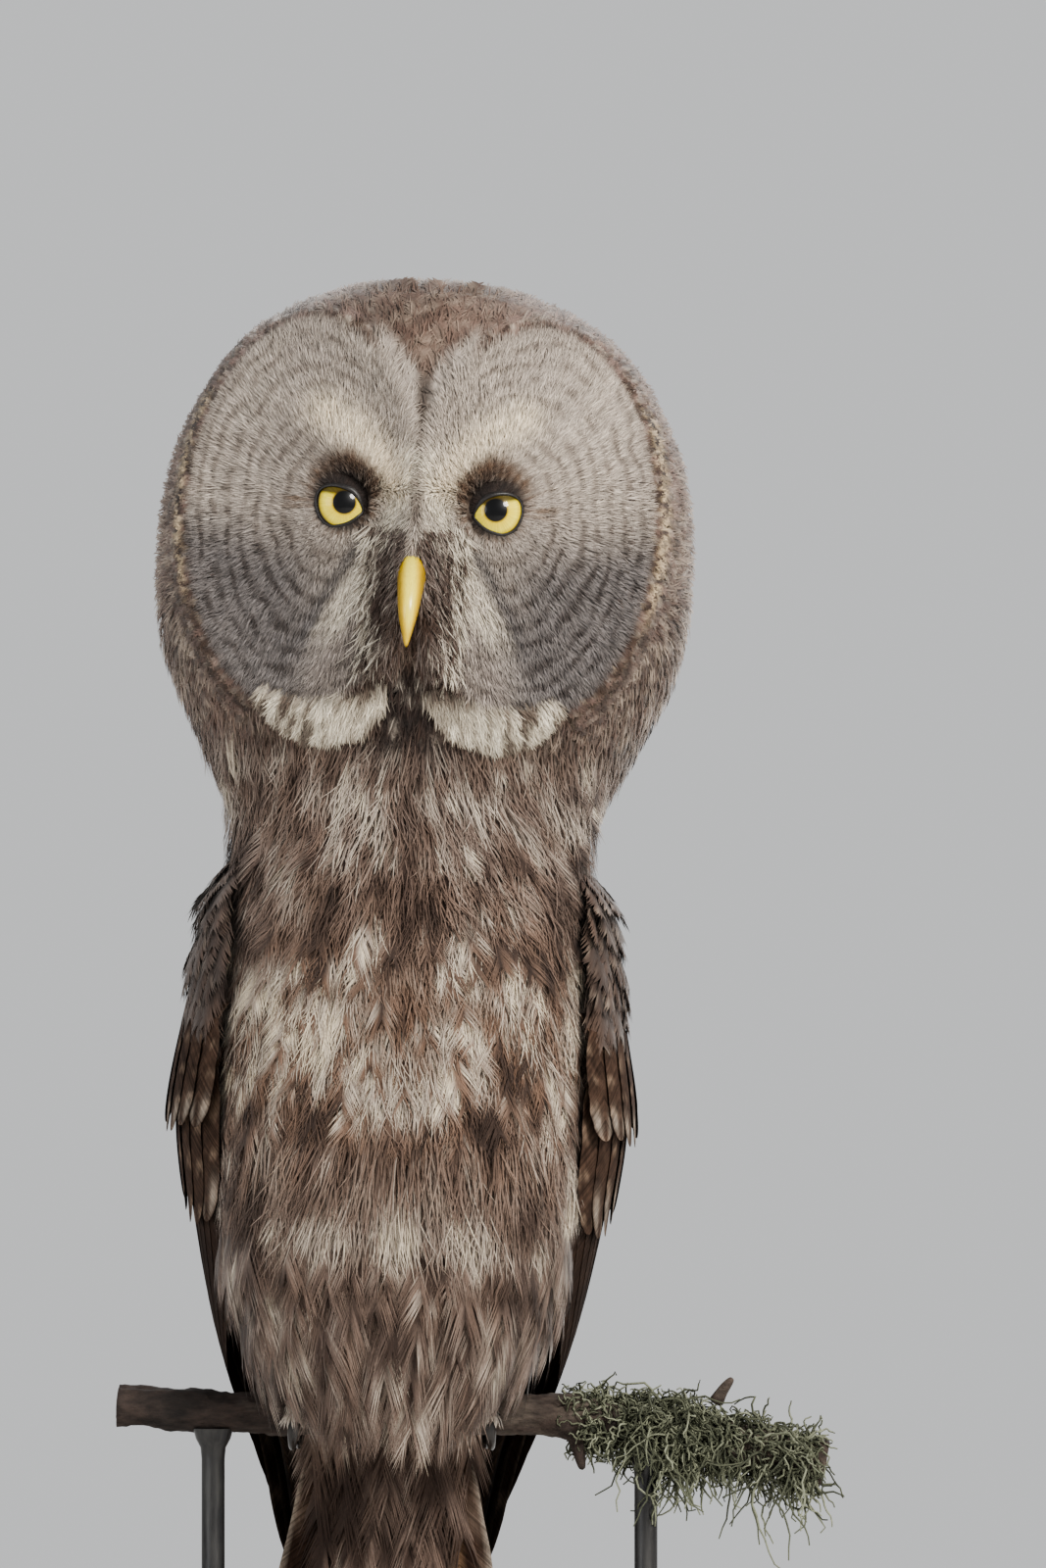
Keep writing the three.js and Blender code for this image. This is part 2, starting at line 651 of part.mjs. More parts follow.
function legGeometry(side, grow = 0) {
  const radii = [[50, 13], [30, 13], [16, 11], [9, 8.5]];
  const rows = radii.map(([z, radius]) => ringAcross(
    new THREE.Vector3(side * LEG_X, PERCH_Y, z === 9 ? z - grow : z),
    new THREE.Vector3(1, 0, 0),
    new THREE.Vector3(0, 1, 0),
    radius + grow,
    radius + grow,
    12,
  ));
  return skinOver(rows);
}

// Centre of the branch at a distance along it
const PERCH_LINE = new THREE.CatmullRomCurve3([
  new THREE.Vector3(-95, -1, 3),
  new THREE.Vector3(-50, -4, 0.3),
  new THREE.Vector3(-20, PERCH_Y, 0),
  new THREE.Vector3(20, PERCH_Y, 0),
  new THREE.Vector3(55, -4, -0.6),
  new THREE.Vector3(95, -2, -6),
  new THREE.Vector3(150, 1, -17),
].map((point) => point.setZ(point.z + PERCH_TOP - PERCH_RADIUS)));

function perchGeometry(grow = 0) {
  const steps = 15;
  const rows = Array.from({ length: steps + 1 }, (_, i) => {
    const share = i / steps;
    const centre = PERCH_LINE.getPoint(share);
    if (i === 0) centre.x -= grow;
    if (i === steps) centre.x += grow;
    const tangent = PERCH_LINE.getTangent(share);
    const up = new THREE.Vector3(0, 0, 1).addScaledVector(tangent, -tangent.z).normalize();
    const across = new THREE.Vector3().crossVectors(tangent, up);
    const knot = 0.5 * Math.sin(11 * share + 1) + 0.4 * Math.sin(29 * share);
    const flare = Math.abs(centre.x) < 40 ? 0 : knot;
    const radius = PERCH_RADIUS + flare + Math.max(0, centre.x - 40) * 0.009 + grow;
    return ringAcross(centre, across, up, radius, radius, 11);
  });
  return skinOver(rows);
}

// Toe on the branch: an arc round it from the top to the front (1) or back (-1)
function aroundPerch(x, angle, radius) {
  return new THREE.Vector3(
    x,
    PERCH_Y - radius * Math.sin(angle),
    PERCH_TOP - PERCH_RADIUS + radius * Math.cos(angle),
  );
}

function arcTaper(from, to, radii, distance) {
  const last = radii.length - 1;
  const rows = radii.map((radius, i) => {
    const share = i / last;
    const angle = THREE.MathUtils.lerp(from.angle, to.angle, share);
    const x = THREE.MathUtils.lerp(from.x, to.x, share);
    const centre = aroundPerch(x, angle, distance(share));
    const outward = aroundPerch(0, angle, 1).sub(aroundPerch(0, angle, 0)).normalize();
    return ringAcross(centre, new THREE.Vector3(1, 0, 0), outward, radius, radius, 6);
  });
  return skinOver(rows);
}

const TOE_REACH = THREE.MathUtils.degToRad(98);
const TOES = [
  { name: 'inner_front', way: 1, x: -5, spread: -6 },
  { name: 'outer_front', way: 1, x: 5, spread: 7 },
  { name: 'inner_back', way: -1, x: -4, spread: -5 },
  { name: 'outer_back', way: -1, x: 4, spread: 6 },
];

function toeGeometry(side, toe) {
  const from = { angle: 0, x: side * (LEG_X + toe.x) };
  const to = { angle: toe.way * TOE_REACH, x: side * (LEG_X + toe.x + toe.spread) };
  return arcTaper(from, to, [4.4, 4.8, 4.5, 3.2], () => PERCH_RADIUS + 5.4);
}

function clawGeometry(side, toe) {
  const x = side * (LEG_X + toe.x + toe.spread);
  const from = { angle: toe.way * (TOE_REACH + 0.035), x };
  const to = { angle: toe.way * THREE.MathUtils.degToRad(172), x: x + side * toe.spread * 0.1 };
  const hook = (share) => PERCH_RADIUS + 4.6 + 2.6 * Math.sin(Math.PI * share) - 1.5 * share;
  return arcTaper(from, to, [2.9, 2.6, 2.1, 1.4, 0.3], hook);
}

function footGeometry(side) {
  const ankle = new THREE.SphereGeometry(9.5, 10, 6);
  ankle.scale(1.15, 1, 0.8).translate(side * LEG_X, PERCH_Y, PERCH_TOP + 5);
  const whole = joined([ankle, ...TOES.map((toe) => toeGeometry(side, toe))]);
  const leg = moved(legGeometry(side, GAP), leanMatrix());
  return asGeometry(cutBy(whole, [perchGeometry(GAP), leg]));
}

function baseGeometry(rods) {
  const { width, depth, height, corner, bevel } = BASE_SIZE;
  const [right, top] = [width / 2 - bevel, depth / 2 - bevel];
  const outline = new THREE.Shape();
  outline.moveTo(-right + corner, -top);
  outline.lineTo(right - corner, -top);
  outline.absarc(right - corner, -top + corner, corner, -Math.PI / 2, 0);
  outline.absarc(right - corner, top - corner, corner, 0, Math.PI / 2);
  outline.absarc(-right + corner, top - corner, corner, Math.PI / 2, Math.PI);
  outline.absarc(-right + corner, -top + corner, corner, Math.PI, 1.5 * Math.PI);
  const plate = new THREE.ExtrudeGeometry(outline, {
    depth: height - 2 * bevel,
    bevelSize: bevel,
    bevelThickness: bevel,
    bevelSegments: 1,
    curveSegments: 4,
  });
  plate.translate(0, 0, bevel);
  return asGeometry(cutBy(asSolid(plate), rods.map((rod) => rodBlank(rod, GAP))));
}

const RODS = [{ name: 'left', x: 88 }, { name: 'right', x: -62 }];
const ROD = { radius: 4, socket: 9 };

function rodBlank(rod, grow = 0) {
  const foot = BASE_SIZE.height - ROD.socket - grow;
  const length = PERCH_TOP - PERCH_RADIUS - foot;
  const blank = new THREE.CylinderGeometry(ROD.radius + grow, ROD.radius + grow, length, 16);
  return blank.rotateX(Math.PI / 2).translate(rod.x, PERCH_Y + rod.x / 60, foot + length / 2);
}

function rodGeometry(rod) {
  return asGeometry(cutBy(asSolid(rodBlank(rod)), [perchGeometry(GAP)]));
}

// The owl's head, with its eyes and bill, turns on the neck
function headGroup() {
  const group = new THREE.Group();
  group.rotation.set(0, HEAD_ROLL, HEAD_YAW);
  group.position.z = HEAD_BASE;
  group.add(namedMesh('head', headGeometry(), 'face'));
  group.add(namedMesh('eye_left', asGeometry(asSolid(eyeBall(1))), 'iris'));
  group.add(namedMesh('eye_right', asGeometry(asSolid(eyeBall(-1))), 'iris'));
  const upper = cutBy(asSolid(upperBill()), [lowerBill(GAP), nostril(1), nostril(-1)]);
  group.add(namedMesh('bill_upper', asGeometry(upper), 'bill'));
  group.add(namedMesh('bill_lower', asGeometry(asSolid(lowerBill())), 'bill'));
  return group;
}

function owlGroup() {
  const group = new THREE.Group();
  group.rotation.y = LEAN;
  group.position.z = PERCH_TOP;
  group.add(headGroup());
  const neck = cutBy(asSolid(bodyLoft(NECK)), [moved(headCore(GAP), headMatrix())]);
  group.add(namedMesh('neck', asGeometry(neck), 'plumage'));
  group.add(namedMesh('torso', torsoGeometry(), 'plumage'));
  group.add(namedMesh('wing_left', wingGeometry(1), 'flight'));
  group.add(namedMesh('wing_right', wingGeometry(-1), 'flight'));
  group.add(namedMesh('tail', tailGeometry(), 'flight'));
  [['left', 1], ['right', -1]].forEach(([name, side]) => {
    const leg = cutBy(asSolid(legGeometry(side)), [bodyLoft(TORSO, GAP)]);
    group.add(namedMesh(`leg_${name}`, asGeometry(leg), 'plumage'));
  });
  return group;
}

function displayGroup() {
  const group = new THREE.Group();
  group.add(namedMesh('perch', asGeometry(asSolid(perchGeometry())), 'bark'));
  group.add(namedMesh('stand_base', baseGeometry(RODS), 'baseWood'));
  RODS.forEach((rod) => group.add(namedMesh(`stand_rod_${rod.name}`, rodGeometry(rod), 'rod')));
  [['left', 1], ['right', -1]].forEach(([name, side]) => {
    group.add(namedMesh(`foot_${name}`, footGeometry(side), 'plumage'));
    TOES.forEach((toe) => {
      group.add(namedMesh(`claw_${name}_${toe.name}`, clawGeometry(side, toe), 'claw'));
    });
  });
  return group;
}

const model = new THREE.Group();
model.add(owlGroup(), displayGroup());

export default model;
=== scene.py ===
"""Great grey owl upright on a cut branch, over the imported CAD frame. Sizes in tables are millimetres."""
import math

import bmesh
import bpy
import numpy as np
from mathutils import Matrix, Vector


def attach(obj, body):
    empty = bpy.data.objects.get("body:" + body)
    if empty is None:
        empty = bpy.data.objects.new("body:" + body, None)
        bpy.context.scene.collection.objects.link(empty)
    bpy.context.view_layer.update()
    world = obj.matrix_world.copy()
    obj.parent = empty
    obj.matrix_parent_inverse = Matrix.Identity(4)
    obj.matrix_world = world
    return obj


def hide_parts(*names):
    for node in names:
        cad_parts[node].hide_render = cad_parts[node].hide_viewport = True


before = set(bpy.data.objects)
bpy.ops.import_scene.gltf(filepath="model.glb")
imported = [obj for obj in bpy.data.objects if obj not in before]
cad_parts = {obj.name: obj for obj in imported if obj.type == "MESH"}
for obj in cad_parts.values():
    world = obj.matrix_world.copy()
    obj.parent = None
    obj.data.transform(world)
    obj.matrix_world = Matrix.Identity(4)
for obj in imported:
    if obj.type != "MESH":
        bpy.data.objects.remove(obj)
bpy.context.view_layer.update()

MM = 0.001
LEAN = math.radians(2)
HEAD_ROLL = math.radians(1)
HEAD_YAW = math.radians(-3)
HEAD_BASE = 204.0
SQUARENESS = 0.88
PERCH_TOP = 280.0
PERCH_RADIUS = 7.5
PERCH_Y = -4.0
LEG_X = 22.0
EYE = Vector((26.5, -47.0, 306.0))
EYE_RADIUS = 11.5
DISC_X, DISC_Z, DISC_HALF_WIDTH, DISC_HALF_HEIGHT = 40.0, 302.0, 40.0, 67.0

# Height over the perch's top, half width, front and back of the owl's sections
BODY_ROWS = [
    (214, 67, -49, 50), (198, 64.5, -50, 52), (182, 63, -53, 54), (165, 64, -58, 57),
    (146, 66, -62, 60), (126, 67.5, -65, 60), (95, 67.5, -67, 57), (61, 62, -65, 51),
    (41, 56, -61, 45), (30, 50, -56, 40), (26, 42, -48, 33),
]
HEAD_ROWS = [
    (386, 4, -9, 0), (384.5, 20, -26, 17), (380, 37, -38, 32), (371, 56, -48, 44),
    (359, 69.5, -55, 52), (343, 80, -60, 58), (328, 87, -63, 61), (309, 91.5, -64.5, 63),
    (290, 93, -65, 63), (272, 92.5, -64, 62), (252, 89, -61, 60), (231, 80, -56, 57),
    (214, 71, -50, 53), (204, 67, -47, 51),
]
# The folded wing: height, half width, middle, half depth, first and last angle
WING_ROWS = [
    (190, 58, 0, 50, 84, 150), (176, 68, 0, 57, 74, 156), (160, 72, 0, 61, 68, 160),
    (126, 75, 0, 64, 66, 160), (95, 75, 2, 62, 66, 160), (61, 68, 6, 55, 70, 160),
    (24, 59, 14, 42, 80, 160), (-15, 46, 25, 30, 104, 160), (-60, 38, 39, 22, 118, 160),
    (-110, 31, 49, 19, 122, 160), (-175, 22, 61, 16, 126, 160),
]
# Height and radius of a leg, and height, half width and half depth of the tail's root
LEG_ROWS = [(60, 9), (40, 11.5), (24, 11.5), (14, 9.5), (5, 7.5), (1, 7)]
TAIL_ROOT_ROWS = [(50, 22, 12), (20, 22, 10), (0, 20, 7), (-18, 15, 4), (-30, 8, 2)]
# The belly's long loose feathers: height, half width, front and back
SKIRT_ROWS = [
    (96, 67, -66.5, 57), (70, 63, -65.5, 52), (46, 56, -62, 46), (26, 47, -56, 36), (6, 37, -47, 28),
    (-20, 29, -38, 22),
]


# Numbers and surfaces


def linear(red, green, blue):
    """Linear colour from an sRGB one."""
    srgb = np.array([red, green, blue], float)
    return np.where(srgb <= 0.04045, srgb / 12.92, ((srgb + 0.055) / 1.055) ** 2.4)


def smooth(value, low, high):
    t = np.clip((np.asarray(value, float) - low) / (high - low), 0, 1)
    return t * t * (3 - 2 * t)


def mix(a, b, share):
    share = np.asarray(share, float)
    if np.ndim(a) > np.ndim(share) or np.ndim(b) > np.ndim(share):
        share = share[..., None]
    return a * (1 - share) + b * share


def tinted(colour, other, share):
    """Colours blended by a share for each point."""
    share = np.asarray(share, float)[..., None]
    return colour * (1 - share) + other * share


def hill(value, centre, width):
    return np.exp(-(((value - centre) / width) ** 2))


def noise(points, size, seed=0):
    """Smooth value noise from 0 to 1 with bumps of about `size`."""
    scaled = np.asarray(points, float) / size
    cell = np.floor(scaled).astype(np.int64)
    t = scaled - cell
    t = t * t * (3 - 2 * t)
    total = np.zeros(len(scaled))
    for corner in range(8):
        step = np.array([corner & 1, (corner >> 1) & 1, (corner >> 2) & 1])
        share = np.prod(np.where(step, t, 1 - t), axis=1)
        x, y, z = (cell + step).T
        mixed = (x * 73856093) ^ (y * 19349663) ^ (z * 83492791) ^ (seed * 2654435761)
        mixed = (mixed ^ (mixed >> 13)) * 1274126177
        total += share * ((mixed & 0xFFFFFF) / 0xFFFFFF)
    return total


def dense_table(rows, count=900):
    """Heights and smooth columns of a table of rows, ready for interpolation."""
    rows = np.array(rows, float)[::-1]
    heights, columns = rows[:, 0], rows[:, 1:]
    slopes = np.gradient(columns, heights, axis=0)
    at = np.linspace(heights[0], heights[-1], count)
    i = np.clip(np.searchsorted(heights, at) - 1, 0, len(heights) - 2)
    span = (heights[i + 1] - heights[i])[:, None]
    t = ((at - heights[i])[:, None]) / span
    values = (
        (2 * t**3 - 3 * t**2 + 1) * columns[i]
        + (t**3 - 2 * t**2 + t) * slopes[i] * span
        + (3 * t**2 - 2 * t**3) * columns[i + 1]
        + (t**3 - t**2) * slopes[i + 1] * span
    )
    return at, values


def look_up(table, z):
    at, values = table
    return [np.interp(z, at, values[:, column]) for column in range(values.shape[1])]


BODY = dense_table(BODY_ROWS)
HEAD = dense_table(HEAD_ROWS)
WING = dense_table(WING_ROWS)
SKIRT = dense_table(SKIRT_ROWS)


def signed_power(value, power):
    return np.sign(value) * np.abs(value) ** power


def on_section(half, middle, depth, z, angle, lift=0.0):
    """Point on a rounded section; angle 0 is the front and a quarter turn is the owl's left."""
    x = half * signed_power(np.sin(angle), SQUARENESS)
    y = -depth * signed_power(np.cos(angle), SQUARENESS)
    power = 2 / SQUARENESS - 1
    out_x = signed_power(x / half, power) / half
    out_y = signed_power(y / depth, power) / depth
    size = np.hypot(out_x, out_y) + 1e-12
    z = np.broadcast_to(z, np.shape(x))
    return np.stack([x + lift * out_x / size, middle + y + lift * out_y / size, z], axis=-1)


def face_relief(x, z):
    """Dishes of the face, their rims, the brows and the lores; positive is deeper."""
    out = np.abs(x)
    turn = np.hypot((out - DISC_X) / DISC_HALF_WIDTH, (z - DISC_Z) / DISC_HALF_HEIGHT)
    dish = np.where(turn < 1, 8 * (1 - turn**2), 0)
    rim = 3.5 * hill(turn, 1, 0.16)
    lores = 7 * np.exp(-((x / 13) ** 2) - ((z - 285) / 28) ** 2)
    brow_line = 319 + 0.45 * (out - 18)
    brow = 3.5 * np.exp(-(((z - brow_line) / 7) ** 2) - ((out - 27) / 18) ** 2)
    return dish - rim - lores - brow


def owl_surface(z, angle):
    """Outer surface of the straight owl at a height and an angle."""
    half, front, back = look_up(BODY, z)
    body = on_section(half, (front + back) / 2, (back - front) / 2, z, angle)
    half, front, back = look_up(HEAD, z)
    head = on_section(half, (front + back) / 2, (back - front) / 2, z, angle)
    head[..., 1] += smooth(np.cos(angle), 0, 0.35) * face_relief(head[..., 0], z)
    return mix(body, head, smooth(z, 200, 216))


def rotated(a, b, angle):
    cos, sin = math.cos(angle), math.sin(angle)
    return a * cos - b * sin, b * cos + a * sin


def posed(points):
    """World place, in metres, of points of the straight owl: its turned head, then its lean."""
    points = np.asarray(points, float)
    x, y, z = np.moveaxis(points - [0, 0, HEAD_BASE], -1, 0)
    x, y = rotated(x, y, HEAD_YAW)
    z, x = rotated(z, x, HEAD_ROLL)
    turned = np.stack([x, y, z + HEAD_BASE], axis=-1)
    x, y, z = np.moveaxis(mix(points, turned, smooth(points[..., 2], 190, 212)), -1, 0)
    z, x = rotated(z, x, LEAN)
    return np.stack([x, y, z + PERCH_TOP], axis=-1) * MM


def posed_directions(points, directions):
    """World directions at points of the straight owl."""
    return unit(posed(points + directions) - posed(points))


def unit(vectors):
    return vectors / (np.linalg.norm(vectors, axis=-1, keepdims=True) + 1e-12)


def surface_frame(z, angle, surface=owl_surface):
    """Point, outward normal and downward tangent of a surface."""
    at = surface(z, angle)
    across = surface(z, angle + 0.01) - surface(z, angle - 0.01)
    down = surface(z - 0.7, angle) - surface(z + 0.7, angle)
    normal = unit(np.cross(down, across))
    return at, normal, unit(down)


# Colours of the plumage

PALE = linear(0.75, 0.71, 0.66)
CREAM = linear(0.85, 0.80, 0.71)
WHITE = linear(0.90, 0.87, 0.80)
GREY = linear(0.56, 0.53, 0.51)
SLATE = linear(0.25, 0.25, 0.275)
BROWN = linear(0.42, 0.335, 0.285)
UMBER = linear(0.28, 0.215, 0.18)
DARK = linear(0.18, 0.14, 0.12)
SOOT = linear(0.085, 0.065, 0.06)
ROSE = linear(0.50, 0.415, 0.38)
GOLD = linear(0.76, 0.66, 0.50)
TAN = linear(0.54, 0.44, 0.35)
RUST = linear(0.46, 0.325, 0.235)


def path_distance(x, z, path):
    """Distance in the face's plane to a line of (x, z) points, and the share along the line."""
    path = np.array(path, float)
    best = np.full(np.shape(x), 1e9)
    share = np.zeros(np.shape(x))
    for i in range(len(path) - 1):
        a, b = path[i], path[i + 1]
        leg = b - a
        t = np.clip(((x - a[0]) * leg[0] + (z - a[1]) * leg[1]) / (leg @ leg), 0, 1)
        distance = np.hypot(x - a[0] - t * leg[0], z - a[1] - t * leg[1])
        share = np.where(distance < best, (i + t) / (len(path) - 1), share)
        best = np.minimum(best, distance)
    return best, share


def disc_reach(u, z):
    """Distance from the eye, and that of the disc's outline in the same direction."""
    du, dz = u - EYE.x, z - EYE.z
    distance = np.hypot(du, dz) + 1e-9
    ax, az = du / distance / DISC_HALF_WIDTH, dz / distance / DISC_HALF_HEIGHT
    cx, cz = (EYE.x - DISC_X) / DISC_HALF_WIDTH, (EYE.z - DISC_Z) / DISC_HALF_HEIGHT
    a, b, c = ax**2 + az**2, 2 * (ax * cx + az * cz), cx**2 + cz**2 - 1
    outline = (-b + np.sqrt(b**2 - 4 * a * c)) / (2 * a)
    return distance, outline


LORES = [(3, 322), (8, 299), (15, 287), (21, 277), (29, 262), (34, 248)]
BROW = [(10, 313), (14, 322), (23, 331), (34, 337)]
TIE = [(10, 239), (19, 233.5), (31, 231), (41, 233), (50, 239)]
# Reach of the dark feathers round the eye, by the direction from its outer corner upwards
EYE_DARK = [
    (-180, 11.4), (-150, 10.4), (-120, 9.9), (-90, 9.8), (-45, 10.0), (0, 11.2), (30, 13.6), (60, 15.8),
    (90, 17.0), (120, 16.8), (150, 14.6), (180, 11.4),
]
EYE_STRENGTH = [(-180, 0.97), (-120, 0.85), (-90, 0.7), (0, 0.7), (40, 0.80), (80, 0.92), (180, 0.97)]
RINGS_PER_DISC = 10.5


def eye_shade(u, z):
    """How dark the feathers round the eye are, and how black."""
    du, dz = u - EYE.x, z - EYE.z
    distance = np.hypot(du, dz)
    turn = np.degrees(np.arctan2(dz, du))
    spoke = noise(np.stack([turn / 3.2, 0 * turn, distance * 0.10], axis=-1), 1.0, 15) - 0.5
    reach = np.interp(turn, *zip(*EYE_DARK)) + 0.8 + 3.0 * spoke
    strength = np.interp(turn, *zip(*EYE_STRENGTH))
    dark = (strength + 0.35 * spoke) * (1 - smooth(distance, reach - 3.0, reach + 2.6))
    return np.clip(dark, 0, 1), 1 - smooth(distance, 8.6, reach - 1.5)


def face_rings(points):
    """Phase and strength of the broken dark rings round each eye."""
    u, z = np.abs(points[:, 0]), points[:, 2]
    distance, outline = disc_reach(u, z)
    wander = noise(points, 10, 3) - 0.5
    ragged = noise(points, 2.2, 16) - 0.5
    ring = distance / outline * RINGS_PER_DISC + 0.8 * wander + 0.30 * ragged
    lower = lower_disc_tone_and_shadow(u, z)
    spots = noise(points * [1, 0.4, 1], 2.9, 5) + 0.35 * noise(points, 14, 6)
    lores, _ = path_distance(u, z, LORES)
    brow, _ = path_distance(u, z, BROW)
    quiet = (1 - 0.9 * hill(lores, 0, 7)) * (1 - 0.85 * hill(brow, 0, 9))
    inside = smooth(outline - distance, -1, 1.5) * smooth(-points[:, 1], 4, 22)
    # The lower disc's stronger rings are partly its own bars and partly painted shadow.
    strength = (0.50 + 0.24 * lower) * smooth(distance, 12, 22) * smooth(spots, 0.36, 0.82)
    return ring, np.clip(strength * quiet * inside, 0, 1)


def lower_disc_tone_and_shadow(u, z):
    """Share of the disc's darker lower and outer half, dark partly in its own tone and partly as painted
    shadow.
    """
    return smooth(0.25 * (u - 40) - (z - 296), -7, 17) * smooth(u, 18, 46)


def face_colour(points):
    """Colours inside the facial discs and between them, without their rings."""
    x, z = points[:, 0], points[:, 2]
    u = np.abs(x)
    distance, _ = disc_reach(u, z)
    fine = noise(points * [1, 0.5, 1], 1.3, 7)
    grey = tinted(GREY, BROWN, 0.25 * fine)
    grown = 0.12 + 0.30 * noise(points, 20, 8) + 0.42 * fine
    colour = tinted(PALE * np.ones((len(u), 3)), grey, grown)
    lower = lower_disc_tone_and_shadow(u, z)
    # Slate over the lower outer disc: partly its own tone, partly painted shadow.
    colour = tinted(colour, tinted(SLATE, GREY, 0.10 + 0.35 * fine), 0.84 * lower)
    lores, _ = path_distance(u, z, LORES)
    line = np.interp(z, [248, 262, 277, 287, 299], [34, 29, 21, 15, 8])
    cheek = smooth(line - u, -3, 4) * smooth(-z, -290, -268)
    puff = smooth(noise(points * [1, 1, 0.4], 3.0, 17), 0.3, 0.7)
    woolly = tinted(GREY, BROWN, 0.15 + 0.55 * puff * smooth(-u, -24, -8))
    colour = tinted(colour, woolly, 0.72 * cheek)
    across = noise(np.stack([u + 0.45 * z, 0 * u, z * 0.12], axis=-1), 1.5, 9)
    crescent = hill(lores, 0, 4.4) * (0.40 + 0.60 * smooth(across, 0.25, 0.6)) * smooth(z, 254, 272)
    colour = tinted(colour, WHITE, 0.92 * crescent)
    behind = hill(lores, 7.0, 3.0) * smooth(u - line, 2, 8) * smooth(300 - z, 0, 12) * smooth(z, 248, 266)
    colour = tinted(colour, SLATE, 0.60 * behind)
    brow, _ = path_distance(u, z, BROW)
    colour = tinted(colour, CREAM, 0.92 * hill(brow, 0, 6.5))
    beside = smooth(-np.abs(u - 8), -8, -3) * smooth(z, 236, 250) * smooth(-z, -290, -272)
    colour = tinted(colour, tinted(BROWN, GREY, fine), 0.75 * beside * (1 - crescent))
    dark, black = eye_shade(u, z)
    colour = tinted(colour, tinted(tinted(UMBER, TAN, 0.5 * fine), SOOT, black), dark)
    turn = np.degrees(np.arctan2(z - EYE.z, u - EYE.x))
    spokes = hill(distance, 16, 5) * smooth(turn, -20, 5) * smooth(-turn, -75, -50)
    spokes = spokes * smooth(noise(np.stack([turn / 5.0, 0 * turn, 0 * turn], axis=-1), 1.0, 18), 0.35, 0.6)
    colour = tinted(colour, tinted(TAN, UMBER, fine), 0.75 * spokes * (1 - dark))
    median = smooth(-(u - 1.2 - 0.10 * np.clip(z - 335, 0, 60)), -1.6, 1.6) * smooth(z, 292, 308)
    return tinted(colour, tinted(DARK, UMBER, noise(points, 3, 11)), 0.85 * median)


def rim_colour(points, beyond):
    """Markings of the ruff by the distance beyond the disc's outline."""
    u, z = np.abs(points[:, 0]), points[:, 2]
    fleck = noise(points, 1.9, 21)
    inner = tinted(ROSE, UMBER, smooth(noise(points, 3, 22), 0.35, 0.7))
    inner = tinted(inner, PALE, 0.45 * smooth(noise(points, 2.2, 23), 0.55, 0.75))
    outer = smooth(u, 58, 68) * smooth(z, 262, 282) * smooth(-z, -352, -338)
    gold = tinted(tinted(GOLD, CREAM, 0.4), DARK, smooth(fleck, 0.50, 0.62))
    colour = tinted(inner, gold, (0.10 + 0.80 * outer) * hill(beyond, 4.4, 1.5))
    low = smooth(-z, -285, -262)
    brown = tinted(UMBER, DARK, noise(points, 3, 24))
    colour = tinted(colour, brown, 0.60 * low * (1 - 0.6 * smooth(fleck, 0.6, 0.8)))
    return tinted(colour, SOOT, 0.5 * hill(beyond, 0.3, 1.2) * smooth(noise(points, 3.5, 25), 0.4, 0.6))


def mantle_colour(points):
    """Brown and cream mottling of the crown, the nape and the sides of the head."""
    front = smooth(-points[:, 1], -10, 30)
    bars = noise(points * [1, 1, 1.8], 4.0, 31)
    fine = noise(points, 1.7, 32)
    broad = smooth(noise(points, 16, 33), 0.25, 0.75)
    colour = tinted(tinted(BROWN, ROSE, 0.35 * front), UMBER, 0.75 * broad)
    pale = tinted(PALE, TAN, 0.45)
    side = smooth(np.abs(points[:, 0]), 55, 82)
    share = (0.42 + 0.38 * side) * smooth(0.6 * bars + 0.5 * fine, 0.42, 0.78)
    colour = tinted(colour, pale, share)
    return tinted(colour, DARK, 0.45 * smooth(fine - 0.4 * bars, 0.40, 0.65) * (1 - 0.5 * side))


def head_colour(points):
    """Markings of the whole head."""
    x, y, z = points.T
    u = np.abs(x)
    distance, outline = disc_reach(u, z)
    beyond = distance - outline
    front = smooth(-y, 4, 22)
    colour = mantle_colour(points)
    rim = rim_colour(points, beyond)
    colour = tinted(colour, rim, front * smooth(beyond, -1.5, 0.5) * smooth(-beyond, -9.5, -6.5))
    between = smooth(-u, -22, -14) * smooth(z, 286, 296) * smooth(0.9 * u - z, -357, -349)
    face = np.maximum(smooth(-beyond, -1.2, 1.0), between)
    colour = tinted(colour, face_colour(points), front * face)
    chin = smooth(-u, -15, -7) * smooth(-z, -256, -246) * front
    pale = 0.6 * smooth(noise(points * [1, 1, 0.5], 2.4, 43), 0.6, 0.8)
    colour = tinted(colour, tinted(tinted(SOOT, UMBER, noise(points, 4, 41)), PALE, pale), chin)
    white = tie_share(u, z) * front
    streak = smooth(noise(points * [2.2, 1, 0.4], 2.6, 42), 0.55, 0.75) * smooth(u, 24, 44)
    colour = tinted(colour, tinted(WHITE, UMBER, 0.6 * streak), white)
    # Painted shadow of the white band on the upper breast just below it.
    under = smooth(-z, -230, -223) * smooth(z, 210, 218) * smooth(-u, -40, -10) * front
    return tinted(colour, DARK, 0.7 * under * (1 - white))


def tie_share(u, z):
    """Share of the white band under each disc, thick near the chin and thinner outwards."""
    tie, along = path_distance(u, z, TIE)
    half = np.interp(along, [0, 0.28, 0.6, 1], [2.6, 6.4, 6.2, 2.2])
    return smooth(half - tie, -1.2, 1.2)


# Height and brightness of the breast
BODY_BRIGHTNESS = [
    (20, 0.44), (60, 0.41), (95, 0.45), (118, 0.52), (140, 0.51), (158, 0.37), (172, 0.30), (195, 0.40),
    (215, 0.49),
]


